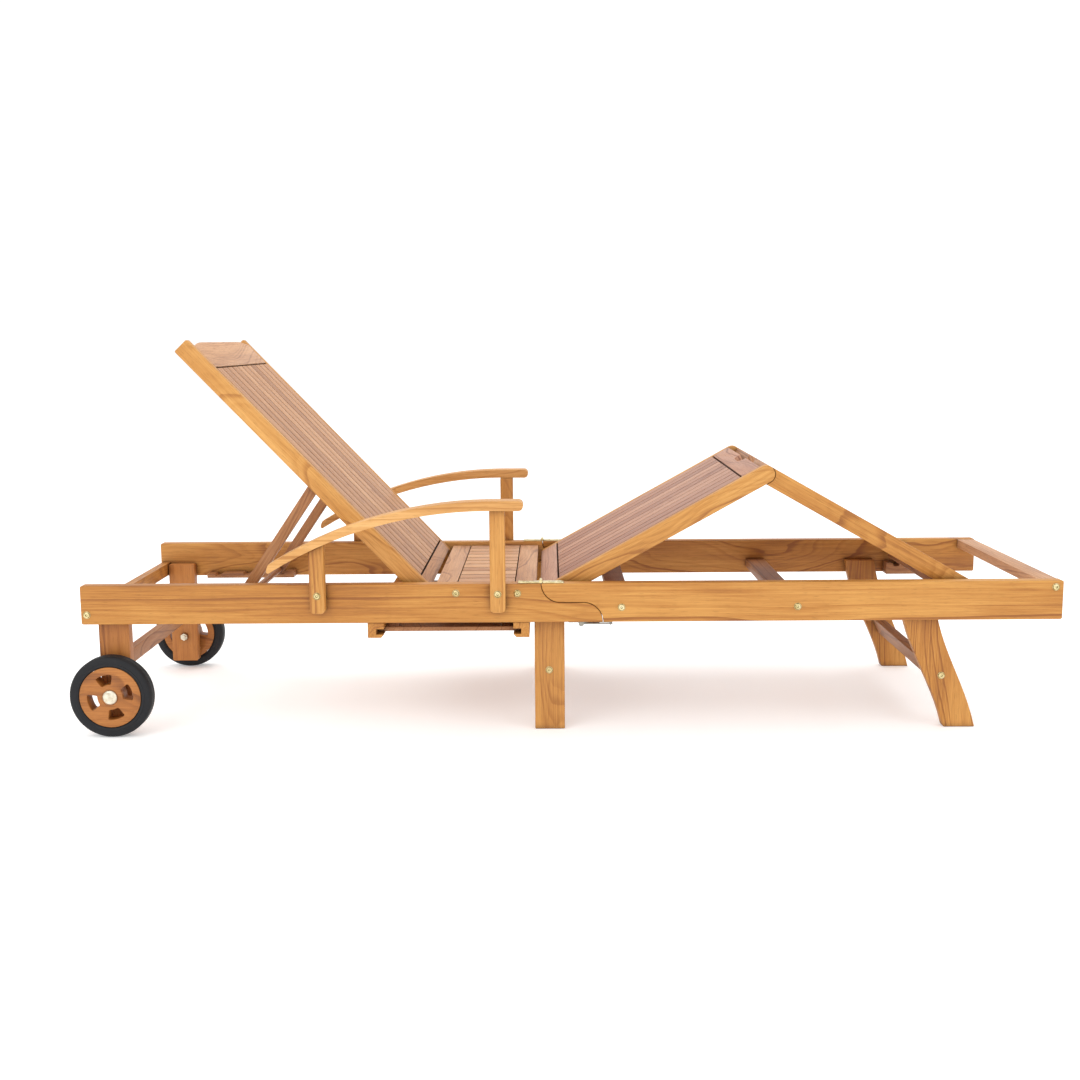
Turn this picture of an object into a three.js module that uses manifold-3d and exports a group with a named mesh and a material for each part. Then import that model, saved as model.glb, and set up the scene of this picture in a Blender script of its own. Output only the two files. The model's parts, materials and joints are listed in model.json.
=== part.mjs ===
// Reclining sun lounger in oiled hardwood: a rail frame that folds in two at a scarf joint,
// with an adjustable backrest, a raising knee section, armrests, a sliding side tray and two wheels.
// Millimetres, +Z up. X runs along the length with the head end at -X and the foot end at +X.
// Y runs across it: "right" is -Y and "left" is +Y. The origin is on the ground at the bounding
// box's centre. Inside the root group, x = 0 is the head end of the side rails and z = 0 the ground.
import * as THREE from 'three';
import { mergeVertices } from 'three/addons/utils/BufferGeometryUtils.js';
import Module from 'manifold-3d';

const wasm = await Module();
wasm.setup();

// ---- Driving dimensions ------------------------------------------------------------------------

const LENGTH = 2000;               // side rails, head end to foot end
const FRAME_WIDTH = 600;           // over the outer faces of the side rails
const RAIL_TOP = 313;              // top edge of the side rails above the ground
const RAIL_HEIGHT = 80;
const RAIL_THICK = 28;
const GAP = 0.3;                   // between pieces that are screwed or glued together
const CORNER = 4;                  // rounding of the rail ends

// Scarf joint and fold hinge between the head half and the foot half.
const SCARF_TOP_X = 940;           // where the joint leaves the top edge
const SCARF_BOTTOM_X = 1066;       // where it reaches the bottom edge
const SCARF_GAP = 1;
const LEAF_LENGTH = 46;
const LEAF_WIDTH = 22;
const LEAF_THICK = 2;
const KNUCKLE_RADIUS = 3.5;
const PIN_RADIUS = 1.3;
const PIN_CLEARANCE = 0.35;
const KNUCKLE_CLEARANCE = 0.4;

// Latch under each scarf joint.
const LATCH_PIVOT_X = 1022;
const LATCH_DROP = 5;              // pivot below the rail's bottom edge
const LATCH_LENGTH = 64;
const LATCH_WIDTH = 16;
const LATCH_THICK = 2;
const LATCH_LEVER_SHARE = 0.55;    // of the length; the wire bail takes the rest

// Legs.
const LEG_THICK = 24;
const LEG_TOP_CLEARANCE = 3;       // leg tops below the flat panels' rails
const WHEEL_LEG_WIDTH = 62;
const WHEEL_LEG_X = 56;
const WHEEL_LEG_FOOT = 24;         // end of the wheel legs above the ground
const MIDDLE_LEG_WIDTH = 62;
const MIDDLE_LEG_X = 957;
const FOOT_LEG_TOP_X = 1680;       // rear edge of the sabre legs at their top end
const FOOT_LEG_TOP_WIDTH = 70;
const FOOT_LEG_FOOT_X = 1774;      // rear edge where it meets the ground
const FOOT_LEG_FOOT_WIDTH = 66;
const STRETCHER_THICK = 18;
const WHEEL_STRETCHER_HEIGHT = 32;
const WHEEL_STRETCHER_Z = 140;
const FOOT_STRETCHER_HEIGHT = 42;
const FOOT_STRETCHER_Z = 108;
const FOOT_STRETCHER_X = 1764;
const FOOT_STRETCHER_TILT = 24;    // degrees, in line with the sabre leg
const SABRE_BEND = 0.36;           // length of the S curve's handles, of the leg's height
const SABRE_SWEEP = 0.12;          // their lean, of the leg's rake

// Wheels.
const TYRE_RADIUS = 84.5;
const TYRE_WIDTH = 36;
const TYRE_EDGE = 4;
const DISC_RADIUS = 63;
const DISC_WIDTH = 32;
const DISC_FIT = 0.4;              // between the disc and the tyre
const WINDOW_COUNT = 4;
const WINDOW_INNER = 26;
const WINDOW_OUTER = 47.5;
const WINDOW_ROUND = 4;            // corners of the windows
const WINDOW_SPAN = 45;            // degrees
const WINDOW_START = -15;          // degrees, the middle of the first window
const AXLE_X = 56;
const AXLE_RADIUS = 5;
const AXLE_CLEARANCE = 0.5;
const WHEEL_OVERHANG = 20;         // wheel's outer face beyond the rail's outer face
const CAP_RADIUS = 15;
const CAP_HEIGHT = 6;
const CAP_RIM_HEIGHT = 2.1;
const CAP_SHOULDER_RADIUS = 12;
const CAP_SHOULDER_HEIGHT = 4.5;
const COLLAR_RADIUS = 12;
const NUT_RADIUS = 9;
const NUT_HEIGHT = 8;
const THREAD_END = 5;              // shaft beyond the nut

// Decks: every lying surface has boards across it and slats along it.
const DECK_DROP = 9;               // deck surface below the rail's top edge
const BOARD_WIDTH = 41;
const BOARD_THICK = 18;
const SLAT_THICK = 14;
const SLAT_GAP = 4.8;
const BOARD_GAP = 4;               // between a slat's end and the next board
const PANEL_SLATS = 11;
const SEAT_SLATS = 12;
const BATTEN_WIDTH = 34;
const BATTEN_THICK = 18;
const BATTEN_OVERLAP = 1;          // a batten's housing in the slats
const PANEL_CLEARANCE = 10;        // between a tilting panel and the side rails
const PANEL_RAIL_THICK = 20;

// Seat.
const SEAT_FRONT_X = 930;
const SEAT_BOARD_WIDTH = 43;
const SEAT_LEDGE = 20;
const SEAT_BOARD_THICK = 22;
const SEAT_SLAT_THICK = 12;

// Backrest and its prop.
const BACK_PIVOT_X = 702;
const BACK_END_CLEARANCE = 2.5;    // from the backrest's lower end to the seat
const BACK_RAIL_DEPTH = 35;
const BACK_LENGTH = 703;           // pivot to the top end of its rails
const BACK_ANGLE = 46.5;           // degrees above flat, at rest
const HEADBOARD_WIDTH = 60;
const HEADBOARD_SETBACK = 16;      // its corners below the ends of the rails
const HEADBOARD_CREST = 9;         // rise of the crest above its corners
const HEADBOARD_SHOULDER = 90;     // length of each curved shoulder
const SHOULDER_PULL = 40;          // handles of the shoulder's curve
const SHOULDER_RISE = 6.3;         // crest side of the corner's handle
const BACK_BOARD_START = -2;       // lower board's lower edge, from the pivot line
const BACK_BOARD_WIDTH = 29;
const BACK_BATTENS = [170, 470];   // battens, from the pivot
const BATTEN_SIDE_GAP = 7;         // between a batten's end and the prop's arm
const PROP_PIVOT = 318;            // along the backrest, from its pivot
const PROP_DROP = 9.5;             // below the backrest rail's centre line
const PROP_LENGTH = 307;
const PROP_DEPTH = 22;
const PROP_THICK = 18;
const PROP_ROUND = 10.5;
const PROP_SIDE_GAP = 7;
const PROP_BAR_RADIUS = 7;
const BAR_CLEARANCE = 1.7;         // from the prop bar's and the leg bar's ends to the legs
const RACK_WIDTH = 36;
const RACK_REACH = [-181, 31];     // its ends, from the prop bar at rest
const RACK_DROP = 65.14;           // tooth tip at the prop bar, below the rail's top edge
const RACK_SLOPE = 0.03;           // rise of the tooth tips along X
const RACK_CLEARANCE = 2.6;        // prop bar above the tooth tips
const RACK_NOTCHES = [-154, -85, 0];   // from the prop bar at rest
const RACK_NOTCH_WIDTH = 17;
const RACK_NOTCH_DEPTH = 5;

// Knee section: a thigh panel and a leg panel that folds on it.
const THIGH_PIVOT_X = 962;
const THIGH_START = 17;            // panel's end behind its pivot
const THIGH_LENGTH = 501;          // pivot to knee
const THIGH_ANGLE = 29;            // degrees above flat, at rest
const LEG_LENGTH = 490;            // knee to the foot end of the panel
const KNEE_RAIL_DEPTH = 36;
const KNEE_CLEARANCE = 1;
const KNEE_BOARD_GAP = 5;
const HAND_HOLE_LENGTH = 92;
const HAND_HOLE_WIDTH = 40;
const LEG_BAR_INSET = 22;          // from the leg panel's foot end
const LEG_BAR_WIDTH = 26;
const LEG_BAR_HEIGHT = 13.5;
const CLEAT_REACH = [-26, 90];     // its ends, from the leg bar at rest
const CLEAT_DROP = 52.25;          // tooth tip at the leg bar, below the rail's top edge
const CLEAT_SLOPE = -0.05;
const CLEAT_CLEARANCE = 2.2;       // leg bar above the tooth tips
const CLEAT_NOTCHES = [-2, 32, 66];    // from the leg bar at rest
const CLEAT_NOTCH_WIDTH = 19;
const CLEAT_NOTCH_DEPTH = 8;
const NOTCH_TAPER = 0.2;           // a notch's floor is narrower by this share on each side

// Cross rails of the frame.
const HEAD_CROSS_X = 3;
const HEAD_CROSS_THICK = 20;
const HEAD_CROSS_HEIGHT = 30;
const CROSS_RAIL_WIDTH = 46;
const CROSS_RAIL_THICK = 18;
const CROSS_RAIL_PLACES = [1104, 1462];
const CROSS_RAIL_CLEARANCE = 1.5;  // below the flat panels
const END_BOARD_WIDTH = 40;
const END_BOARD_THICK = 20;
const END_BOARD_INSET = 3;
const END_BOARD_DROP = 1;

// Armrests.
const ARM_TOP = 174;               // above the rail's top edge
const ARM_FRONT_X = 906;
const ARM_REAR_X = 388;
const ARM_BEND_X = 842;            // where the level front runs into the long curve
const ARM_BEND_RADIUS = 860;
const ARM_THICK = 20;
const ARM_REAR_THICK = 15;
const ARM_WIDTH = 42;
const ARM_STEPS = 16;
const ARM_RAIL_CLEARANCE = 1;      // arms stay outside the folding rails
const POST_WIDTH = 31;
const POST_THICK = 24;
const POST_CORNER = 9;
const POST_BOTTOM_DROP = 56;
const FRONT_POST_X = 853;
const REAR_POST_X = 488;

// Side tray and its runners.
const RUNNER_WIDTH = 33;
const RUNNER_HEIGHT = 31.5;
const RUNNER_INSET = 3;            // runner ends inside the rails' outer faces
const RUNNER_REAR_X = 585;
const RUNNER_FRONT_X = 916;
const GROOVE_TOP = 13.5;           // below the runner's top
const GROOVE_HEIGHT = 11;
const GROOVE_DEPTH = 16;
const RUNNER_BEVEL = 6;
const TRAY_THICK = 9;
const TRAY_INSET = 30;             // tray ends inside the rails' outer faces
const TRAY_SIDE_CLEARANCE = 1.5;

// ---- Values that follow ------------------------------------------------------------------------

const HALF_WIDTH = FRAME_WIDTH / 2;
const INNER = HALF_WIDTH - RAIL_THICK;
const PANEL_HALF = INNER - PANEL_CLEARANCE;
const DECK_HALF = PANEL_HALF - PANEL_RAIL_THICK;
const RAIL_BOTTOM = RAIL_TOP - RAIL_HEIGHT;
const DECK_Z = RAIL_TOP - DECK_DROP;
const BACK_PIVOT_Z = DECK_Z - BACK_RAIL_DEPTH / 2;
const SEAT_REAR_X = BACK_PIVOT_X + BACK_RAIL_DEPTH / 2 + BACK_END_CLEARANCE;
const KNEE_PIVOT_Z = DECK_Z - KNEE_RAIL_DEPTH / 2;
const PROP_SIDE = DECK_HALF - PROP_SIDE_GAP;
const BAR_HALF_LENGTH = INNER - LEG_THICK - GAP - BAR_CLEARANCE;
const BACK_BATTEN_HALF = PROP_SIDE - PROP_THICK - BATTEN_SIDE_GAP;
const LEG_BAR_X = LEG_LENGTH - LEG_BAR_INSET;
const LEG_TOP = DECK_Z - Math.max(BACK_RAIL_DEPTH, KNEE_RAIL_DEPTH) - LEG_TOP_CLEARANCE;
const HEADMOST_X = Math.min(0, AXLE_X - TYRE_RADIUS);
const MIDDLE_X = (LENGTH + HEADMOST_X) / 2;

const WOOD = { color: 0xd9984a, roughness: 0.6, metalness: 0 };
const SLAT_WOOD = { color: 0xd2a07c, roughness: 0.65, metalness: 0 };
const SHADE_WOOD = { color: 0xa5622f, roughness: 0.65, metalness: 0 };
const BRASS = { color: 0xc2a45c, roughness: 0.35, metalness: 1 };
const RUBBER = { color: 0x26272a, roughness: 0.85, metalness: 0 };

// ---- Helpers -----------------------------------------------------------------------------------

const radians = (degrees) => degrees * Math.PI / 180;

/** A point given from a pivot, after a turn that raises its +X side by an angle. */
function raised(pivotX, pivotZ, degrees, x, z) {
  const angle = radians(degrees);
  return [
    pivotX + x * Math.cos(angle) - z * Math.sin(angle),
    pivotZ + x * Math.sin(angle) + z * Math.cos(angle),
  ];
}

/** A closed geometry as a manifold solid. */
function solid(geometry) {
  const bare = geometry.clone();
  bare.deleteAttribute('normal');
  bare.deleteAttribute('uv');
  const merged = mergeVertices(bare, 1e-4);
  return new wasm.Manifold(new wasm.Mesh({
    numProp: 3,
    vertProperties: new Float32Array(merged.attributes.position.array),
    triVerts: new Uint32Array(merged.index.array),
  }));
}

/** A manifold solid as a geometry. */
function geometryOf(body) {
  const mesh = body.getMesh();
  const geometry = new THREE.BufferGeometry();
  geometry.setAttribute('position', new THREE.BufferAttribute(mesh.vertProperties, 3));
  geometry.setIndex(new THREE.BufferAttribute(mesh.triVerts, 1));
  geometry.computeVertexNormals();
  return geometry;
}

/** Joins the first geometry with the others. */
function join(first, ...others) {
  let body = solid(first);
  for (const other of others) {
    body = body.add(solid(other));
  }
  return geometryOf(body);
}

/** Cuts the others out of the first geometry. */
function cut(first, ...others) {
  let body = solid(first);
  for (const other of others) {
    body = body.subtract(solid(other));
  }
  return geometryOf(body);
}

/** A block between two limits on each axis. */
function block([x0, x1], [y0, y1], [z0, z1]) {
  const geometry = new THREE.BoxGeometry(x1 - x0, y1 - y0, z1 - z0);
  geometry.translate((x0 + x1) / 2, (y0 + y1) / 2, (z0 + z1) / 2);
  return geometry;
}

/** An outline in the X-Z plane, extruded across from one y to another. */
function across(outline, [y0, y1], curveSegments = 8) {
  const options = { depth: y1 - y0, bevelEnabled: false, curveSegments };
  const geometry = new THREE.ExtrudeGeometry(outline, options);
  geometry.rotateX(Math.PI / 2);
  geometry.translate(0, y1, 0);
  return geometry;
}

/** An outline in the X-Y plane, extruded up from one z to another. */
function upward(outline, [z0, z1], curveSegments = 8) {
  const options = { depth: z1 - z0, bevelEnabled: false, curveSegments };
  const geometry = new THREE.ExtrudeGeometry(outline, options);
  geometry.translate(0, 0, z0);
  return geometry;
}

/** A round bar along Y. */
function barAcross(radius, [y0, y1], x, z, segments = 16) {
  const geometry = new THREE.CylinderGeometry(radius, radius, y1 - y0, segments);
  geometry.translate(x, (y0 + y1) / 2, z);
  return geometry;
}

/** A rectangle with rounded corners, as an outline. */
function roundedOutline([x0, x1], [z0, z1], radius) {
  const shape = new THREE.Shape();
  shape.moveTo(x0 + radius, z0);
  shape.lineTo(x1 - radius, z0);
  shape.absarc(x1 - radius, z0 + radius, radius, -Math.PI / 2, 0, false);
  shape.lineTo(x1, z1 - radius);
  shape.absarc(x1 - radius, z1 - radius, radius, 0, Math.PI / 2, false);
  shape.lineTo(x0 + radius, z1);
  shape.absarc(x0 + radius, z1 - radius, radius, Math.PI / 2, Math.PI, false);
  shape.lineTo(x0, z0 + radius);
  shape.absarc(x0 + radius, z0 + radius, radius, Math.PI, 1.5 * Math.PI, false);
  return shape;
}

/** The prop's slope at rest, in degrees: its bar lies just above the rack. */
function propRestAngle() {
  const hinge = raised(BACK_PIVOT_X, BACK_PIVOT_Z, -BACK_ANGLE, -PROP_PIVOT, -PROP_DROP);
  const bar = RAIL_TOP - RACK_DROP + RACK_CLEARANCE + PROP_BAR_RADIUS;
  return Math.asin((hinge[1] - bar) / PROP_LENGTH) * 180 / Math.PI;
}

/** The leg panel's slope at rest, in degrees: its bar lies just above the ledge. */
function legRestAngle() {
  const knee = raised(THIGH_PIVOT_X, KNEE_PIVOT_Z, THIGH_ANGLE, THIGH_LENGTH, 0);
  const along = LEG_BAR_X + LEG_BAR_WIDTH / 2;
  const under = KNEE_RAIL_DEPTH / 2 + GAP + LEG_BAR_HEIGHT;
  const drop = knee[1] - (RAIL_TOP - CLEAT_DROP + CLEAT_CLEARANCE);
  const toCorner = Math.asin(drop / Math.hypot(along, under));
  return (toCorner - Math.atan2(under, along)) * 180 / Math.PI;
}

const PROP_REST_ANGLE = propRestAngle();
const LEG_ANGLE = legRestAngle();

const SIDES = [
  { name: 'right', sign: -1 },
  { name: 'left', sign: 1 },
];

/** Limits in y for a piece that lies between two distances from the middle, on one side. */
function spanOn(side, near, far) {
  return side.sign > 0 ? [near, far] : [-far, -near];
}

/** Adds a named mesh with its own material to a group. */
function add(group, name, geometry, finish) {
  const mesh = new THREE.Mesh(geometry, new THREE.MeshStandardMaterial(finish));
  mesh.name = name;
  group.add(mesh);
  return mesh;
}

/** A group that turns about Y at a pivot. */
function pivotGroup(parent, x, z, degrees) {
  const group = new THREE.Group();
  group.position.set(x, 0, z);
  group.rotation.y = radians(degrees);
  parent.add(group);
  return group;
}

/** Slats side by side along X, joined by battens under them. */
function slatPanel([x0, x1], halfWidth, count, top, thick, battenPlaces, battenHalf) {
  const pitch = 2 * halfWidth / count;
  const slats = [];
  for (let i = 0; i < count; i += 1) {
    const y0 = -halfWidth + i * pitch + SLAT_GAP / 2;
    slats.push(block([x0, x1], [y0, y0 + pitch - SLAT_GAP], [top - thick, top]));
  }
  const battenTop = top - thick + BATTEN_OVERLAP;
  const battens = battenPlaces.map((x) => block(
    [x - BATTEN_WIDTH / 2, x + BATTEN_WIDTH / 2],
    [-battenHalf, battenHalf],
    [battenTop - BATTEN_THICK, battenTop],
  ));
  return join(...battens, ...slats);
}

// ---- Side rails and the scarf joint ------------------------------------------------------------

const SCARF_RADIUS = RAIL_HEIGHT / 2;
const SCARF_MIDDLE = RAIL_TOP - RAIL_HEIGHT / 2;

/** Runs the outline down the scarf from the top edge, shifted along X. */
function scarfDown(shape, shift) {
  const top = SCARF_TOP_X + shift;
  const bottom = SCARF_BOTTOM_X + shift;
  shape.lineTo(top, RAIL_TOP);
  shape.absarc(top + SCARF_RADIUS, RAIL_TOP, SCARF_RADIUS, Math.PI, 1.5 * Math.PI, false);
  shape.lineTo(bottom - SCARF_RADIUS, SCARF_MIDDLE);
  shape.absarc(bottom - SCARF_RADIUS, RAIL_BOTTOM, SCARF_RADIUS, Math.PI / 2, 0, true);
}

function headRail() {
  const shape = new THREE.Shape();
  shape.moveTo(CORNER, RAIL_TOP);
  scarfDown(shape, 0);
  shape.lineTo(CORNER, RAIL_BOTTOM);
  shape.absarc(CORNER, RAIL_BOTTOM + CORNER, CORNER, 1.5 * Math.PI, Math.PI, true);
  shape.absarc(CORNER, RAIL_TOP - CORNER, CORNER, Math.PI, Math.PI / 2, true);
  return shape;
}

/** The foot half keeps SCARF_GAP to the head half along the whole scarf. */
function footRail() {
  const shape = new THREE.Shape();
  const top = SCARF_TOP_X + SCARF_RADIUS;
  const bottom = SCARF_BOTTOM_X - SCARF_RADIUS;
  const outer = SCARF_RADIUS + SCARF_GAP;
  const inner = SCARF_RADIUS - SCARF_GAP;
  shape.moveTo(top - inner, RAIL_TOP);
  shape.absarc(top, RAIL_TOP, inner, Math.PI, 1.5 * Math.PI, false);
  shape.lineTo(bottom, SCARF_MIDDLE + SCARF_GAP);
  shape.absarc(bottom, RAIL_BOTTOM, outer, Math.PI / 2, 0, true);
  shape.lineTo(LENGTH - CORNER, RAIL_BOTTOM);
  shape.absarc(LENGTH - CORNER, RAIL_BOTTOM + CORNER, CORNER, -Math.PI / 2, 0, false);
  shape.absarc(LENGTH - CORNER, RAIL_TOP - CORNER, CORNER, 0, Math.PI / 2, false);
  return shape;
}

function addSideRails(frame, footFrame) {
  for (const side of SIDES) {
    const y = spanOn(side, INNER, HALF_WIDTH);
    add(frame, `head_rail_${side.name}`, across(headRail(), y), WOOD);
    add(footFrame, `foot_rail_${side.name}`, across(footRail(), y), WOOD);
  }
}

// ---- Fold hinges and latches -------------------------------------------------------------------

const HINGE_Z = RAIL_TOP + KNUCKLE_RADIUS + GAP;
const LEAF_Z = [RAIL_TOP + GAP, RAIL_TOP + GAP + LEAF_THICK];

function addFoldHinges(frame, footFrame) {
  const middle = (INNER + HALF_WIDTH) / 2;
  const hole = PIN_RADIUS + PIN_CLEARANCE;
  const third = LEAF_WIDTH / 3;
  const clear = KNUCKLE_RADIUS + KNUCKLE_CLEARANCE;
  for (const side of SIDES) {
    const [y0, y1] = spanOn(side, middle - LEAF_WIDTH / 2, middle + LEAF_WIDTH / 2);
    const inside = [y0 + third, y1 - third];
    const gapSpan = [inside[0] - KNUCKLE_CLEARANCE, inside[1] + KNUCKLE_CLEARANCE];
    const headPlate = block([SCARF_TOP_X - LEAF_LENGTH, SCARF_TOP_X], [y0, y1], LEAF_Z);
    const headBarrel = barAcross(KNUCKLE_RADIUS, [y0, y1], SCARF_TOP_X, HINGE_Z);
    const room = barAcross(clear, gapSpan, SCARF_TOP_X, HINGE_Z);
    const pin = barAcross(PIN_RADIUS, [y0, y1], SCARF_TOP_X, HINGE_Z, 12);
    const head = solid(join(headPlate, headBarrel)).subtract(solid(room)).add(solid(pin));
    add(frame, `fold_hinge_head_leaf_${side.name}`, geometryOf(head), BRASS);

    const footPlate = block([SCARF_TOP_X + clear, SCARF_TOP_X + LEAF_LENGTH], [y0, y1], LEAF_Z);
    const tongue = block([SCARF_TOP_X, SCARF_TOP_X + clear + 1], inside, LEAF_Z);
    const footBarrel = barAcross(KNUCKLE_RADIUS, inside, SCARF_TOP_X, HINGE_Z);
    const bore = barAcross(hole, [y0, y1], SCARF_TOP_X, HINGE_Z, 12);
    const foot = cut(join(footPlate, tongue, footBarrel), bore);
    add(footFrame, `fold_hinge_foot_leaf_${side.name}`, foot, BRASS);
  }
}

/** A toggle lever with its wire bail, lying flat under the scarf joint. */
function addLatches(frame) {
  const middle = (INNER + HALF_WIDTH) / 2;
  const leverEnd = LATCH_LENGTH * LATCH_LEVER_SHARE;
  for (const side of SIDES) {
    const latch = pivotGroup(frame, LATCH_PIVOT_X, RAIL_BOTTOM - LATCH_DROP, 0);
    const y = spanOn(side, middle - LATCH_WIDTH / 2, middle + LATCH_WIDTH / 2);
    const barrel = barAcross(LATCH_THICK, y, 0, 0, 12);
    const plate = block([0, leverEnd], y, [-LATCH_THICK / 2, LATCH_THICK / 2]);
    const bail = block(
      [leverEnd - LATCH_THICK, LATCH_LENGTH],
      y,
      [-LATCH_THICK / 2, LATCH_THICK / 2],
    );
    const eye = block(
      [leverEnd + LATCH_THICK, LATCH_LENGTH - LATCH_THICK],
      [y[0] + LATCH_THICK, y[1] - LATCH_THICK],
      [-LATCH_THICK, LATCH_THICK],
    );
    add(latch, `latch_lever_${side.name}`, cut(join(barrel, plate, bail), eye), BRASS);
  }
}

// ---- Legs, stretchers and cross rails ----------------------------------------------------------

/** The sabre leg: both of its edges are smooth S curves. */
function sabreOutline() {
  const bend = LEG_TOP * SABRE_BEND;
  const sweep = (FOOT_LEG_FOOT_X - FOOT_LEG_TOP_X) * SABRE_SWEEP;
  const frontTop = FOOT_LEG_TOP_X + FOOT_LEG_TOP_WIDTH;
  const frontFoot = FOOT_LEG_FOOT_X + FOOT_LEG_FOOT_WIDTH;
  const shape = new THREE.Shape();
  shape.moveTo(FOOT_LEG_TOP_X, LEG_TOP);
  shape.bezierCurveTo(
    FOOT_LEG_TOP_X + sweep, LEG_TOP - bend, FOOT_LEG_FOOT_X - sweep * 2, bend, FOOT_LEG_FOOT_X, CORNER);
  shape.quadraticCurveTo(FOOT_LEG_FOOT_X + 1, 0, FOOT_LEG_FOOT_X + CORNER, 0);
  shape.lineTo(frontFoot, 0);
  shape.bezierCurveTo(
    frontFoot - sweep * 2, bend, frontTop + sweep, LEG_TOP - bend, frontTop, LEG_TOP);
  shape.closePath();
  return shape;
}

function addLegs(frame, footFrame) {
  const half = WHEEL_LEG_WIDTH / 2;
  const wheelLegX = [WHEEL_LEG_X - half, WHEEL_LEG_X + half];
  const middleLegX = [MIDDLE_LEG_X - MIDDLE_LEG_WIDTH / 2, MIDDLE_LEG_X + MIDDLE_LEG_WIDTH / 2];
  const inner = INNER - GAP - LEG_THICK;
  for (const side of SIDES) {
    const y = spanOn(side, inner, INNER - GAP);
    const bore = barAcross(AXLE_RADIUS + AXLE_CLEARANCE, [-HALF_WIDTH, HALF_WIDTH], AXLE_X, TYRE_RADIUS);
    const wheelLeg = across(roundedOutline(wheelLegX, [WHEEL_LEG_FOOT, LEG_TOP], CORNER), y);
    add(frame, `wheel_leg_${side.name}`, cut(wheelLeg, bore), WOOD);
    add(frame, `middle_leg_${side.name}`, block(middleLegX, y, [0, LEG_TOP]), WOOD);
    add(footFrame, `foot_leg_${side.name}`, across(sabreOutline(), y, 12), WOOD);
  }
  const between = [-inner + GAP, inner - GAP];
  add(frame, 'wheel_leg_stretcher', block(
    [WHEEL_LEG_X - STRETCHER_THICK / 2, WHEEL_LEG_X + STRETCHER_THICK / 2],
    between,
    [WHEEL_STRETCHER_Z - WHEEL_STRETCHER_HEIGHT / 2, WHEEL_STRETCHER_Z + WHEEL_STRETCHER_HEIGHT / 2],
  ), SHADE_WOOD);
  const stretcher = pivotGroup(footFrame, FOOT_STRETCHER_X, FOOT_STRETCHER_Z, -FOOT_STRETCHER_TILT);
  add(stretcher, 'foot_leg_stretcher', block(
    [-STRETCHER_THICK / 2, STRETCHER_THICK / 2],
    between,
    [-FOOT_STRETCHER_HEIGHT / 2, FOOT_STRETCHER_HEIGHT / 2],
  ), SHADE_WOOD);
}

function addCrossRails(frame, footFrame) {
  const between = [-INNER + GAP, INNER - GAP];
  const headTop = DECK_Z - BACK_RAIL_DEPTH - CROSS_RAIL_CLEARANCE;
  add(frame, 'head_cross_rail', block(
    [HEAD_CROSS_X, HEAD_CROSS_X + HEAD_CROSS_THICK],
    between,
    [headTop - HEAD_CROSS_HEIGHT, headTop],
  ), WOOD);
  const kneeTop = DECK_Z - KNEE_RAIL_DEPTH - CROSS_RAIL_CLEARANCE;
  CROSS_RAIL_PLACES.forEach((x, index) => {
    add(footFrame, `foot_cross_rail_${index + 1}`, block(
      [x - CROSS_RAIL_WIDTH / 2, x + CROSS_RAIL_WIDTH / 2],
      between,
      [kneeTop - CROSS_RAIL_THICK, kneeTop],
    ), SHADE_WOOD);
  });
  const endX = LENGTH - END_BOARD_INSET;
  const endTop = RAIL_TOP - END_BOARD_DROP;
  add(footFrame, 'foot_end_board', block(
    [endX - END_BOARD_WIDTH, endX],
    between,
    [endTop - END_BOARD_THICK, endTop],
  ), WOOD);
}

/** A ledge with notches in its sloping top edge, which passes below a bar that rests at barX. */
function notchedLedge(barX, reach, drop, slope, notches, notchWidth, notchDepth) {
  const [x0, x1] = reach.map((offset) => barX + offset);
  const tip = (x) => RAIL_TOP - drop + (x - barX) * slope;
  const taper = notchWidth * NOTCH_TAPER;
  const shape = new THREE.Shape();
  shape.moveTo(x0, RAIL_BOTTOM);
  shape.lineTo(x0, tip(x0));
  for (const offset of notches) {
    const left = barX + offset - notchWidth / 2;
    const right = left + notchWidth;
    const floor = tip(barX + offset) - notchDepth;
    shape.lineTo(left, tip(left));
    shape.lineTo(left + taper, floor);
    shape.lineTo(right - taper, floor);
    shape.lineTo(right, tip(right));
  }
  shape.lineTo(x1, tip(x1));
  shape.lineTo(x1, RAIL_BOTTOM);
  shape.closePath();
  return shape;
}

/** Where the prop bar lies along the frame at rest. */
function propBarX() {
  const hinge = raised(BACK_PIVOT_X, BACK_PIVOT_Z, -BACK_ANGLE, -PROP_PIVOT, -PROP_DROP);
  return hinge[0] - PROP_LENGTH * Math.cos(radians(PROP_REST_ANGLE));
}

/** Where the lowest edge of the leg panel's bar lies along the frame at rest. */
function legBarX() {
  const knee = raised(THIGH_PIVOT_X, KNEE_PIVOT_Z, THIGH_ANGLE, THIGH_LENGTH, 0);
  const under = KNEE_RAIL_DEPTH / 2 + GAP + LEG_BAR_HEIGHT;
  return raised(knee[0], knee[1], -LEG_ANGLE, LEG_BAR_X + LEG_BAR_WIDTH / 2, -under)[0];
}

function addNotchedLedges(frame, footFrame) {
  for (const side of SIDES) {
    const y = spanOn(side, INNER - GAP - RACK_WIDTH, INNER - GAP);
    const rack = notchedLedge(propBarX(), RACK_REACH, RACK_DROP, RACK_SLOPE,
      RACK_NOTCHES, RACK_NOTCH_WIDTH, RACK_NOTCH_DEPTH);
    add(frame, `back_rack_${side.name}`, across(rack, y), SHADE_WOOD);
    const cleat = notchedLedge(legBarX(), CLEAT_REACH, CLEAT_DROP, CLEAT_SLOPE,
      CLEAT_NOTCHES, CLEAT_NOTCH_WIDTH, CLEAT_NOTCH_DEPTH);
    add(footFrame, `leg_rack_${side.name}`, across(cleat, y), SHADE_WOOD);
  }
}

// ---- Seat --------------------------------------------------------------------------------------

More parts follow.
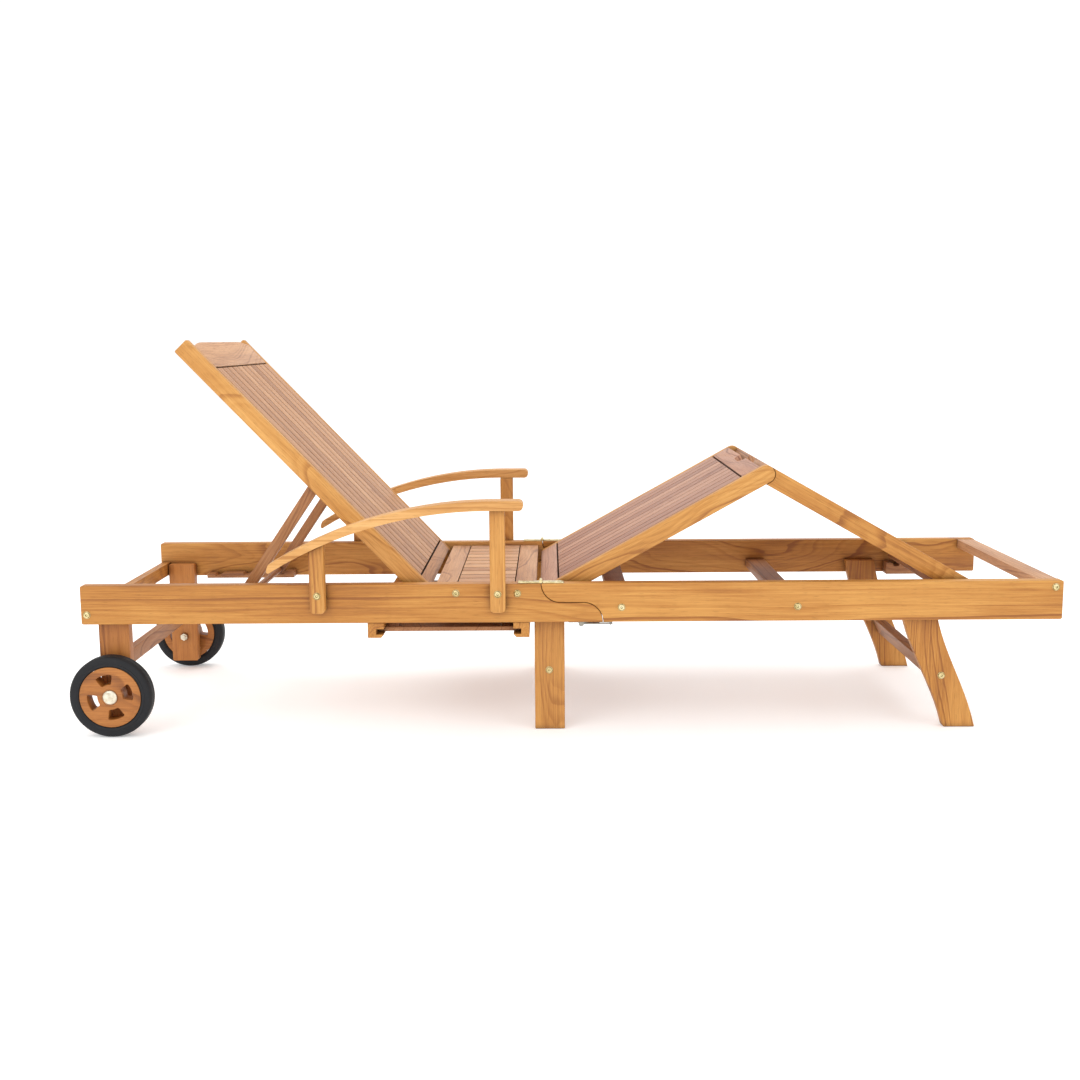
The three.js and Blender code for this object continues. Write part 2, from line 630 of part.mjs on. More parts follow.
/** A cross board with a rebate along its inner edge that carries the slats' ends. */
function seatBoard(edgeX, direction) {
  const inner = edgeX + direction * (SEAT_BOARD_WIDTH + SEAT_LEDGE);
  const step = edgeX + direction * SEAT_BOARD_WIDTH;
  const ledgeTop = DECK_Z - SEAT_SLAT_THICK - GAP;
  const y = [-INNER + GAP, INNER - GAP];
  const bottom = DECK_Z - SEAT_BOARD_THICK;
  const body = block([Math.min(edgeX, inner), Math.max(edgeX, inner)], y, [bottom, DECK_Z]);
  const rebate = block(
    [Math.min(step, inner + direction), Math.max(step, inner + direction)],
    [y[0] - 1, y[1] + 1],
    [ledgeTop, DECK_Z + 1],
  );
  return cut(body, rebate);
}

function addSeat(frame) {
  add(frame, 'seat_cross_rail_rear', seatBoard(SEAT_REAR_X, 1), SLAT_WOOD);
  add(frame, 'seat_cross_rail_front', seatBoard(SEAT_FRONT_X, -1), SLAT_WOOD);
  const x0 = SEAT_REAR_X + SEAT_BOARD_WIDTH + BOARD_GAP / 2;
  const x1 = SEAT_FRONT_X - SEAT_BOARD_WIDTH - BOARD_GAP / 2;
  const half = INNER - GAP;
  const middle = (x0 + x1) / 2;
  const slats = slatPanel([x0, x1], half, SEAT_SLATS, DECK_Z, SEAT_SLAT_THICK, [middle], half - SLAT_GAP);
  add(frame, 'seat_slats', slats, SLAT_WOOD);
}

// ---- Backrest and prop -------------------------------------------------------------------------

/** The backrest's side rail: round about its pivot, square with soft corners at the top end. */
function backRailOutline() {
  const half = BACK_RAIL_DEPTH / 2;
  const end = -BACK_LENGTH;
  const shape = new THREE.Shape();
  shape.moveTo(0, half);
  shape.lineTo(end + CORNER, half);
  shape.quadraticCurveTo(end, half, end, half - CORNER);
  shape.lineTo(end, -half + CORNER);
  shape.quadraticCurveTo(end, -half, end + CORNER, -half);
  shape.lineTo(0, -half);
  shape.absarc(0, 0, half, -Math.PI / 2, Math.PI / 2, false);
  return shape;
}

/** The headboard: a board with a raised crest between two curved shoulders. */
function headboardOutline() {
  const base = -BACK_LENGTH + HEADBOARD_SETBACK + HEADBOARD_WIDTH;
  const corner = -BACK_LENGTH + HEADBOARD_SETBACK;
  const crest = corner - HEADBOARD_CREST;
  const half = DECK_HALF - GAP;
  const flat = half - HEADBOARD_SHOULDER;
  const handle = half - SHOULDER_PULL;
  const rise = corner - SHOULDER_RISE;
  const shape = new THREE.Shape();
  shape.moveTo(base, -half);
  shape.lineTo(base, half);
  shape.lineTo(corner, half);
  shape.bezierCurveTo(rise, handle, crest, flat + SHOULDER_PULL, crest, flat);
  shape.lineTo(crest, -flat);
  shape.bezierCurveTo(crest, -flat - SHOULDER_PULL, rise, -handle, corner, -half);
  shape.closePath();
  return shape;
}

function addBackrest(frame) {
  const backrest = pivotGroup(frame, BACK_PIVOT_X, BACK_PIVOT_Z, BACK_ANGLE);
  const top = BACK_RAIL_DEPTH / 2;
  const half = DECK_HALF - GAP;
  for (const side of SIDES) {
    const rail = across(backRailOutline(), spanOn(side, DECK_HALF, PANEL_HALF));
    add(backrest, `back_rail_${side.name}`, rail, WOOD);
  }
  add(backrest, 'headboard', upward(headboardOutline(), [top - BOARD_THICK, top]), SLAT_WOOD);
  const slatEnd = -BACK_LENGTH + HEADBOARD_SETBACK + HEADBOARD_WIDTH + BOARD_GAP;
  const boardX = [BACK_BOARD_START - BACK_BOARD_WIDTH, BACK_BOARD_START];
  const board = block(boardX, [-half, half], [top - BOARD_THICK, top]);
  const joiner = block(
    [boardX[0] - BATTEN_WIDTH, boardX[0] + BATTEN_WIDTH / 2],
    [-BACK_BATTEN_HALF, BACK_BATTEN_HALF],
    [top - SLAT_THICK - BATTEN_THICK / 2, top - SLAT_THICK + BATTEN_OVERLAP],
  );
  const battens = BACK_BATTENS.map((x) => -x);
  const slats = slatPanel([slatEnd, boardX[0] - BOARD_GAP], half, PANEL_SLATS, top, SLAT_THICK,
    battens, BACK_BATTEN_HALF);
  add(backrest, 'back_slats', join(slats, joiner, board), SLAT_WOOD);

  const prop = pivotGroup(backrest, -PROP_PIVOT, -PROP_DROP, -BACK_ANGLE - PROP_REST_ANGLE);
  const barGap = barAcross(PROP_BAR_RADIUS + GAP, [-HALF_WIDTH, HALF_WIDTH], -PROP_LENGTH, 0);
  for (const side of SIDES) {
    const y = spanOn(side, PROP_SIDE - PROP_THICK, PROP_SIDE);
    const arm = across(roundedOutline(
      [-PROP_LENGTH - PROP_DEPTH / 2, PROP_DEPTH / 2],
      [-PROP_DEPTH / 2, PROP_DEPTH / 2],
      PROP_ROUND,
    ), y);
    add(prop, `prop_arm_${side.name}`, cut(arm, barGap), SHADE_WOOD);
  }
  const bar = barAcross(PROP_BAR_RADIUS, [-BAR_HALF_LENGTH, BAR_HALF_LENGTH], -PROP_LENGTH, 0);
  add(prop, 'prop_bar', bar, SHADE_WOOD);
}

// ---- Knee section ------------------------------------------------------------------------------

/** Half of the hand hole, an oval pocket in a knee board's edge at x = 0. */
function handHole() {
  const round = HAND_HOLE_WIDTH / 2;
  const straight = HAND_HOLE_LENGTH / 2 - round;
  const shape = new THREE.Shape();
  shape.moveTo(round, -straight);
  shape.lineTo(round, straight);
  shape.absarc(0, straight, round, 0, Math.PI, false);
  shape.lineTo(-round, -straight);
  shape.absarc(0, -straight, round, Math.PI, 2 * Math.PI, false);
  return shape;
}

/** The leg rail starts in a hollow about the knee; below it, a bevel lies on the raised thigh rail. */
function legRailOutline() {
  const half = KNEE_RAIL_DEPTH / 2;
  const hollow = half + KNEE_CLEARANCE;
  const fold = radians(THIGH_ANGLE + LEG_ANGLE);
  const normal = fold - Math.PI / 2;
  const topAngle = Math.asin(half / hollow);
  const slide = (half - hollow * Math.sin(-normal)) / Math.cos(normal);
  const bevelX = hollow * Math.cos(normal) - slide * Math.sin(-normal);
  const shape = new THREE.Shape();
  shape.moveTo(LEG_LENGTH - CORNER, half);
  shape.lineTo(hollow * Math.cos(topAngle), half);
  shape.absarc(0, 0, hollow, topAngle, normal, true);
  shape.lineTo(bevelX, -half);
  shape.lineTo(LEG_LENGTH - CORNER, -half);
  shape.quadraticCurveTo(LEG_LENGTH, -half, LEG_LENGTH, -half + CORNER);
  shape.lineTo(LEG_LENGTH, half - CORNER);
  shape.quadraticCurveTo(LEG_LENGTH, half, LEG_LENGTH - CORNER, half);
  return shape;
}

/** The thigh rail is round about the knee and square behind its own pivot. */
function thighRailOutline() {
  const half = KNEE_RAIL_DEPTH / 2;
  const shape = new THREE.Shape();
  shape.moveTo(0, half);
  shape.lineTo(THIGH_LENGTH, half);
  shape.absarc(THIGH_LENGTH, 0, half, Math.PI / 2, -Math.PI / 2, true);
  shape.lineTo(0, -half);
  shape.absarc(0, 0, half, -Math.PI / 2, -Math.PI, true);
  shape.lineTo(-THIGH_START, half - CORNER);
  shape.quadraticCurveTo(-THIGH_START, half, -THIGH_START + CORNER, half);
  return shape;
}

/** A deck of slats with a cross board glued to one end. */
function deckWithBoard(slatX, boardX, top, battenPlaces) {
  const half = DECK_HALF - GAP;
  const board = block(boardX, [-half, half], [top - BOARD_THICK, top]);
  const seam = boardX[0] > slatX[0] ? boardX[0] : boardX[1];
  const joiner = block(
    [seam - BATTEN_WIDTH, seam + BATTEN_WIDTH],
    [-half, half],
    [top - SLAT_THICK - BATTEN_THICK / 2, top - SLAT_THICK + BATTEN_OVERLAP],
  );
  const slats = slatPanel(slatX, half, PANEL_SLATS, top, SLAT_THICK, battenPlaces, half);
  return join(slats, joiner, board);
}

function addKneeSection(footFrame) {
  const thigh = pivotGroup(footFrame, THIGH_PIVOT_X, KNEE_PIVOT_Z, -THIGH_ANGLE);
  const leg = pivotGroup(thigh, THIGH_LENGTH, 0, THIGH_ANGLE + LEG_ANGLE);
  const top = KNEE_RAIL_DEPTH / 2;
  const half = DECK_HALF - GAP;
  for (const side of SIDES) {
    const y = spanOn(side, DECK_HALF, PANEL_HALF);
    add(thigh, `thigh_rail_${side.name}`, across(thighRailOutline(), y), WOOD);
    add(leg, `leg_rail_${side.name}`, across(legRailOutline(), y), WOOD);
  }

  const hole = upward(handHole(), [-BOARD_THICK, 2 * BOARD_THICK], 6);
  const boardY = [-half, half];
  const boardZ = [top - BOARD_THICK, top];
  const thighHole = hole.clone().translate(THIGH_LENGTH, 0, 0);
  const thighEdge = THIGH_LENGTH - KNEE_BOARD_GAP / 2;
  const thighBoard = block([thighEdge - BOARD_WIDTH, thighEdge], boardY, boardZ);
  add(thigh, 'thigh_knee_board', cut(thighBoard, thighHole), SLAT_WOOD);
  const legEdge = KNEE_BOARD_GAP / 2;
  const legBoard = block([legEdge, legEdge + BOARD_WIDTH], boardY, boardZ);
  add(leg, 'leg_knee_board', cut(legBoard, hole), SLAT_WOOD);

  const hingeBoard = [-THIGH_START, -THIGH_START + BOARD_WIDTH];
  const thighSlats = [hingeBoard[1] + BOARD_GAP, thighEdge - BOARD_WIDTH - BOARD_GAP];
  const thighMiddle = (thighSlats[0] + thighSlats[1]) / 2;
  add(thigh, 'thigh_deck', deckWithBoard(thighSlats, hingeBoard, top, [thighMiddle]), SLAT_WOOD);
  const endBoard = [LEG_LENGTH - BOARD_WIDTH, LEG_LENGTH];
  const legSlats = [legEdge + BOARD_WIDTH + BOARD_GAP, endBoard[0] - BOARD_GAP];
  const legMiddle = (legSlats[0] + legSlats[1]) / 2;
  add(leg, 'leg_deck', deckWithBoard(legSlats, endBoard, top, [legMiddle]), SLAT_WOOD);

  const barTop = -top - GAP;
  add(leg, 'leg_rest_bar', block(
    [LEG_BAR_X - LEG_BAR_WIDTH / 2, LEG_BAR_X + LEG_BAR_WIDTH / 2],
    [-BAR_HALF_LENGTH, BAR_HALF_LENGTH],
    [barTop - LEG_BAR_HEIGHT, barTop],
  ), SHADE_WOOD);
}

// ---- Armrests ----------------------------------------------------------------------------------

/** Height of the arm's top face: level in front, then falling along an arc. */
function armTopAt(x) {
  const past = Math.max(0, ARM_BEND_X - x);
  return RAIL_TOP + ARM_TOP - ARM_BEND_RADIUS + Math.sqrt(ARM_BEND_RADIUS ** 2 - past ** 2);
}

/** Height of the arm's underside, which draws nearer to the top face towards the rear. */
function armUnderAt(x) {
  const share = (ARM_FRONT_X - x) / (ARM_FRONT_X - ARM_REAR_X);
  const thick = ARM_THICK + (ARM_REAR_THICK - ARM_THICK) * share;
  const slope = Math.max(0, ARM_BEND_X - x) / ARM_BEND_RADIUS;
  return armTopAt(x) - thick / Math.sqrt(1 - slope ** 2);
}

function armOutline() {
  const places = [];
  for (let i = 1; i <= ARM_STEPS; i += 1) {
    const inset = ARM_THICK / 2;
    places.push(ARM_REAR_X + inset + (ARM_FRONT_X - ARM_REAR_X - 2 * inset) * i / ARM_STEPS);
  }
  const first = ARM_REAR_X + ARM_REAR_THICK / 2;
  const shape = new THREE.Shape();
  shape.moveTo(first, armTopAt(first));
  for (const x of places) {
    shape.lineTo(x, armTopAt(x));
  }
  const nose = RAIL_TOP + ARM_TOP - ARM_THICK / 2;
  shape.absarc(ARM_FRONT_X - ARM_THICK / 2, nose, ARM_THICK / 2, Math.PI / 2, -Math.PI / 2, true);
  for (const x of places.reverse()) {
    shape.lineTo(x, armUnderAt(x));
  }
  shape.lineTo(first, armUnderAt(first));
  const tip = (armTopAt(ARM_REAR_X) + armUnderAt(ARM_REAR_X)) / 2;
  shape.quadraticCurveTo(ARM_REAR_X - 1, tip - ARM_REAR_THICK / 4, first, armTopAt(first));
  return shape;
}

/** A post bolted to the rail's outer face, cut to the underside of the arm. */
function postOutline(x) {
  const half = POST_WIDTH / 2;
  const bottom = RAIL_TOP - POST_BOTTOM_DROP;
  const shape = new THREE.Shape();
  shape.moveTo(x - half + POST_CORNER, bottom);
  shape.lineTo(x + half - POST_CORNER, bottom);
  shape.absarc(x + half - POST_CORNER, bottom + POST_CORNER, POST_CORNER, -Math.PI / 2, 0, false);
  shape.lineTo(x + half, armUnderAt(x + half) - GAP);
  shape.lineTo(x, armUnderAt(x) - GAP);
  shape.lineTo(x - half, armUnderAt(x - half) - GAP);
  shape.lineTo(x - half, bottom + POST_CORNER);
  shape.absarc(x - half + POST_CORNER, bottom + POST_CORNER, POST_CORNER, Math.PI, 1.5 * Math.PI, false);
  return shape;
}

function addArmrests(frame) {
  const armInner = HALF_WIDTH + ARM_RAIL_CLEARANCE;
  for (const side of SIDES) {
    const armY = spanOn(side, armInner, armInner + ARM_WIDTH);
    const postY = spanOn(side, HALF_WIDTH + GAP, HALF_WIDTH + GAP + POST_THICK);
    add(frame, `armrest_${side.name}`, across(armOutline(), armY), WOOD);
    add(frame, `armrest_front_post_${side.name}`, across(postOutline(FRONT_POST_X), postY), WOOD);
    add(frame, `armrest_rear_post_${side.name}`, across(postOutline(REAR_POST_X), postY), WOOD);
  }
}

// ---- Tray --------------------------------------------------------------------------------------

/** C-shaped runner with its groove towards the other runner and a bevelled lower lip. */
function runnerOutline(edgeX, direction) {
  const top = RAIL_BOTTOM - GAP;
  const bottom = top - RUNNER_HEIGHT;
  const lip = edgeX + direction * RUNNER_WIDTH;
  const wall = lip - direction * GROOVE_DEPTH;
  const grooveTop = top - GROOVE_TOP;
  const grooveBottom = grooveTop - GROOVE_HEIGHT;
  const shape = new THREE.Shape();
  shape.moveTo(edgeX, top);
  shape.lineTo(lip, top);
  shape.lineTo(lip, grooveTop);
  shape.lineTo(wall, grooveTop);
  shape.lineTo(wall, grooveBottom);
  shape.lineTo(lip, grooveBottom);
  shape.lineTo(lip - direction * RUNNER_BEVEL, bottom);
  shape.lineTo(edgeX, bottom);
  shape.closePath();
  return shape;
}

function addTray(frame) {
  const runnerY = [-HALF_WIDTH + RUNNER_INSET, HALF_WIDTH - RUNNER_INSET];
  add(frame, 'tray_runner_rear', across(runnerOutline(RUNNER_REAR_X, 1), runnerY), WOOD);
  add(frame, 'tray_runner_front', across(runnerOutline(RUNNER_FRONT_X, -1), runnerY), WOOD);
  const inset = RUNNER_WIDTH - GROOVE_DEPTH + TRAY_SIDE_CLEARANCE;
  const grooveMiddle = RAIL_BOTTOM - GAP - GROOVE_TOP - GROOVE_HEIGHT / 2;
  add(frame, 'tray', block(
    [RUNNER_REAR_X + inset, RUNNER_FRONT_X - inset],
    [-HALF_WIDTH + TRAY_INSET, HALF_WIDTH - TRAY_INSET],
    [grooveMiddle - TRAY_THICK / 2, grooveMiddle + TRAY_THICK / 2],
  ), SHADE_WOOD);
}

// ---- Wheels ------------------------------------------------------------------------------------

/** A ring or disc turned about Y from a profile of [radius, y] points. */
function turned(profile, segments) {
  const points = profile.map(([radius, y]) => new THREE.Vector2(radius, y));
  return new THREE.LatheGeometry(points, segments);
}

/** A window of the wheel disc: a stretch of a ring with rounded corners, about +X. */
function windowOutline() {
  const half = radians(WINDOW_SPAN / 2);
  const outerTurn = half - WINDOW_ROUND / WINDOW_OUTER;
  const innerTurn = half - WINDOW_ROUND / WINDOW_INNER;
  const outerSide = WINDOW_OUTER - WINDOW_ROUND;
  const innerSide = WINDOW_INNER + WINDOW_ROUND;
  const at = (radius, angle) => [radius * Math.cos(angle), radius * Math.sin(angle)];
  const shape = new THREE.Shape();
  shape.absarc(0, 0, WINDOW_OUTER, -outerTurn, outerTurn, false);
  shape.quadraticCurveTo(...at(WINDOW_OUTER, half), ...at(outerSide, half));
  shape.lineTo(...at(innerSide, half));
  shape.quadraticCurveTo(...at(WINDOW_INNER, half), ...at(WINDOW_INNER, innerTurn));
  shape.absarc(0, 0, WINDOW_INNER, innerTurn, -innerTurn, true);
  shape.quadraticCurveTo(...at(WINDOW_INNER, -half), ...at(innerSide, -half));
  shape.lineTo(...at(outerSide, -half));
  shape.quadraticCurveTo(...at(WINDOW_OUTER, -half), ...at(WINDOW_OUTER, -outerTurn));
  return shape;
}

function wheelDisc() {
  const half = DISC_WIDTH / 2;
  const cuts = [barAcross(AXLE_RADIUS + AXLE_CLEARANCE, [-2 * half, 2 * half], 0, 0)];
  for (let i = 0; i < WINDOW_COUNT; i += 1) {
    const opening = across(windowOutline(), [-2 * half, 2 * half], 5);
    opening.rotateY(radians(WINDOW_START + i * 360 / WINDOW_COUNT));
    cuts.push(opening);
  }
  return cut(barAcross(DISC_RADIUS, [-half, half], 0, 0, 48), ...cuts);
}

function tyre() {
  const half = TYRE_WIDTH / 2;
  const bore = DISC_RADIUS + DISC_FIT;
  return turned([
    [bore, -half + TYRE_EDGE],
    [bore + TYRE_EDGE, -half],
    [TYRE_RADIUS - TYRE_EDGE, -half],
    [TYRE_RADIUS, -half + TYRE_EDGE],
    [TYRE_RADIUS, half - TYRE_EDGE],
    [TYRE_RADIUS - TYRE_EDGE, half],
    [bore + TYRE_EDGE, half],
    [bore, half - TYRE_EDGE],
    [bore, -half + TYRE_EDGE],
  ], 48);
}

/** Shaft with its domed cap outside, a spacing collar behind the wheel and the nut inside. */
function axle(side, wheelY) {
  const outer = wheelY + DISC_WIDTH / 2 + GAP;
  const inner = wheelY - DISC_WIDTH / 2 - GAP;
  const legInner = INNER - GAP - LEG_THICK;
  const shaftEnd = legInner - NUT_HEIGHT - THREAD_END;
  const shaft = barAcross(AXLE_RADIUS, spanOn(side, shaftEnd, outer + 1), 0, 0);
  const collar = barAcross(COLLAR_RADIUS, spanOn(side, INNER + GAP, inner), 0, 0);
  const nut = barAcross(NUT_RADIUS, spanOn(side, legInner - NUT_HEIGHT, legInner - GAP), 0, 0, 6);
  const cap = turned([
    [0, 0],
    [CAP_RADIUS, 0],
    [CAP_RADIUS, CAP_RIM_HEIGHT],
    [CAP_SHOULDER_RADIUS, CAP_SHOULDER_HEIGHT],
    [0, CAP_HEIGHT],
  ], 24);
  if (side.sign < 0) {
    cap.rotateX(Math.PI);
  }
  cap.translate(0, side.sign * outer, 0);
  return join(shaft, collar, nut, cap);
}

function addWheels(frame) {
  const wheelY = HALF_WIDTH + WHEEL_OVERHANG - TYRE_WIDTH / 2;
  for (const side of SIDES) {
    const wheel = pivotGroup(frame, AXLE_X, TYRE_RADIUS, 0);
    add(wheel, `wheel_tyre_${side.name}`, tyre(), RUBBER).position.y = side.sign * wheelY;
    add(wheel, `wheel_disc_${side.name}`, wheelDisc(), WOOD).position.y = side.sign * wheelY;
    add(wheel, `wheel_axle_${side.name}`, axle(side, wheelY), BRASS);
  }
}

// ---- Assembly ----------------------------------------------------------------------------------

const lounger = new THREE.Group();
const headFrame = new THREE.Group();
const footFrame = new THREE.Group();
headFrame.position.x = -MIDDLE_X;
footFrame.position.x = -MIDDLE_X;
lounger.add(headFrame, footFrame);

addSideRails(headFrame, footFrame);
addFoldHinges(headFrame, footFrame);
addLatches(headFrame);
addLegs(headFrame, footFrame);
addCrossRails(headFrame, footFrame);
addNotchedLedges(headFrame, footFrame);
addSeat(headFrame);
addBackrest(headFrame);
addKneeSection(footFrame);
addArmrests(headFrame);
addTray(headFrame);
addWheels(headFrame);

export default lounger;
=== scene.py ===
"""Looks for the reclining sun lounger: oiled hardwood, brass fittings and rubber tyres in a pale studio.

All sizes are in metres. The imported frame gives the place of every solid. This script adds the materials, the
edge rounding and the small hardware that the solids leave out, and sets the camera, the light and the floor.
"""

import json
import math

import bpy
from mathutils import Matrix, Vector


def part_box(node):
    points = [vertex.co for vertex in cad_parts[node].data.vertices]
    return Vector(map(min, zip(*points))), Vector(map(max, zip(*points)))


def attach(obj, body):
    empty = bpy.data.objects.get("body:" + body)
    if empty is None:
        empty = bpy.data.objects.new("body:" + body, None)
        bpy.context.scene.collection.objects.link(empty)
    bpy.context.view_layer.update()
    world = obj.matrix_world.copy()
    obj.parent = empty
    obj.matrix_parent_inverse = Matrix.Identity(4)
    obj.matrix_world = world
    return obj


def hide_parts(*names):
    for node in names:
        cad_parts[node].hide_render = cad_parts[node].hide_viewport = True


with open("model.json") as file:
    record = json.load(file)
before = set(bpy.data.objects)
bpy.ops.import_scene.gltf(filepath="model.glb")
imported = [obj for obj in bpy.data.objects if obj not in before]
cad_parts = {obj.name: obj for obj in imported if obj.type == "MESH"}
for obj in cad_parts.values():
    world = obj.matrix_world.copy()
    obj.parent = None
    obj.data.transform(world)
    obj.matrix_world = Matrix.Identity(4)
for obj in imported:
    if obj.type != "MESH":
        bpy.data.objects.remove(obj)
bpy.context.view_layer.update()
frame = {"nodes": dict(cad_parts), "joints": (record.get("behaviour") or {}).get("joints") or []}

# ---- Sizes -------------------------------------------------------------------------------------------------

SIDES = {"right": -1, "left": 1}
BACK_TILT = math.radians(46.5)      # rest slopes of the three tilting panels, about +Y
THIGH_TILT = math.radians(-29.0)
LEG_TILT = math.radians(29.7)
ARM_EASE = 0.0032
RAIL_EASE = 0.0016
SLAT_EASE = 0.0010
METAL_EASE = 0.0004

# Heads, as (radius, height, half the width of the socket).
BOLT = (0.0074, 0.0030, 0.0026)
DECK_SCREW = (0.0030, 0.0012, 0.0013)
HINGE_SCREW = (0.0028, 0.0006, 0.0012)
LATCH_SCREW = (0.0026, 0.0009, 0.0011)
TRAY_PEG = (0.0030, 0.0060, 0.0010)
HEAD_STEPS = 24                     # corners around a head, a spacer and a tyre
SPACER_STEPS = 48
TYRE_STEPS = 112
SHARP_ANGLE = math.radians(38)      # between faces that keep a crease

# Bolts, as (distance from the head end, height above the rail's top).
RAIL_BOLTS = {
    "head_frame": ((0.012, -0.060), (0.767, -0.019), (0.892, -0.020)),
    "foot_frame": ((1.104, -0.050), (1.462, -0.050), (1.984, -0.013)),
}
LEG_BOLTS = {"head_frame": (0.956, -0.187, "middle_leg"), "foot_frame": (1.767, -0.203, "foot_leg")}
POST_BOLTS = ((0.853, -0.017, "armrest_front_post"), (0.488, -0.019, "armrest_rear_post"))

# Stretches of the cross boards along their panels, from the panel's pivot.
BACK_BOARD = (-0.033, 0.010)
THIGH_BOARD = (-0.020, 0.026)
LEG_BOARD = (0.447, 0.500)

# Battens: screw lines along the panel, and the batten's underside, from the panel's pivot.
BACK_BATTENS = (-0.170, -0.470)
THIGH_BATTENS = (0.241,)
LEG_BATTENS = (0.246,)
BACK_BATTEN_UNDER = -0.012
KNEE_BATTEN_UNDER = -0.013
PANEL_SLATS = 11
SEAT_SLATS = 12

SPACER_BORE = 0.0022
SPACER_FACE = 0.0068                # radius of its flat ends
SPACER_RADIUS = 0.0074
SPACER_GAP = 0.0004                 # at each end
SPACER_SHOULDER = 0.8               # share of its length with the full radius
STRETCHER_DEPTH = 0.018
STRETCHER_HEIGHT = 0.042
STRETCHER_GAP = 0.0003              # to each leg
STRETCHER_EASE = 0.002
HINGE_SCREWS = (0.017, 0.036)       # from the hinge's pin
LATCH_BASE_WIDTH = 0.022
LATCH_BASE_SCREWS = (-0.020, -0.010)    # from the lever's pivot
LATCH_CATCH_WIDTH = 0.010
LATCH_CATCH_SCREW = 0.072
LATCH_PLATE_THICK = 0.0014
LATCH_PLATE_GAP = 0.0002            # under the rail
LATCH_PLATE_EASE = 0.0003
LATCH_EAR_SHIFT = 0.010             # from the lever's middle to each ear
LATCH_EAR_EASE = 0.0002
HINGE_LEAF_THICK = 0.0023
PROP_TILT = math.radians(-55.4)
PEG_INSETS = (0.044, 0.040)         # stop pegs, from the tray's head side and foot side
PEG_END_INSET = 0.012
PEG_DARKNESS = 0.45                 # of the shaded wood's tones

JOINT = {joint["name"]: Vector(joint["pos_m"]) for joint in frame["joints"] if "pos_m" in joint}
RAIL_LOW, RAIL_HIGH = (Vector(corner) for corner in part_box("head_rail_right"))
HEAD_X = RAIL_LOW.x
RAIL_TOP = RAIL_HIGH.z
RAIL_BOTTOM = RAIL_LOW.z
RAIL_OUTER = -RAIL_LOW.y
RAIL_INNER = -RAIL_HIGH.y
RAIL_MIDDLE = (RAIL_OUTER + RAIL_INNER) / 2

# ---- Shader building blocks --------------------------------------------------------------------------------


SHADE_SAMPLES = 4


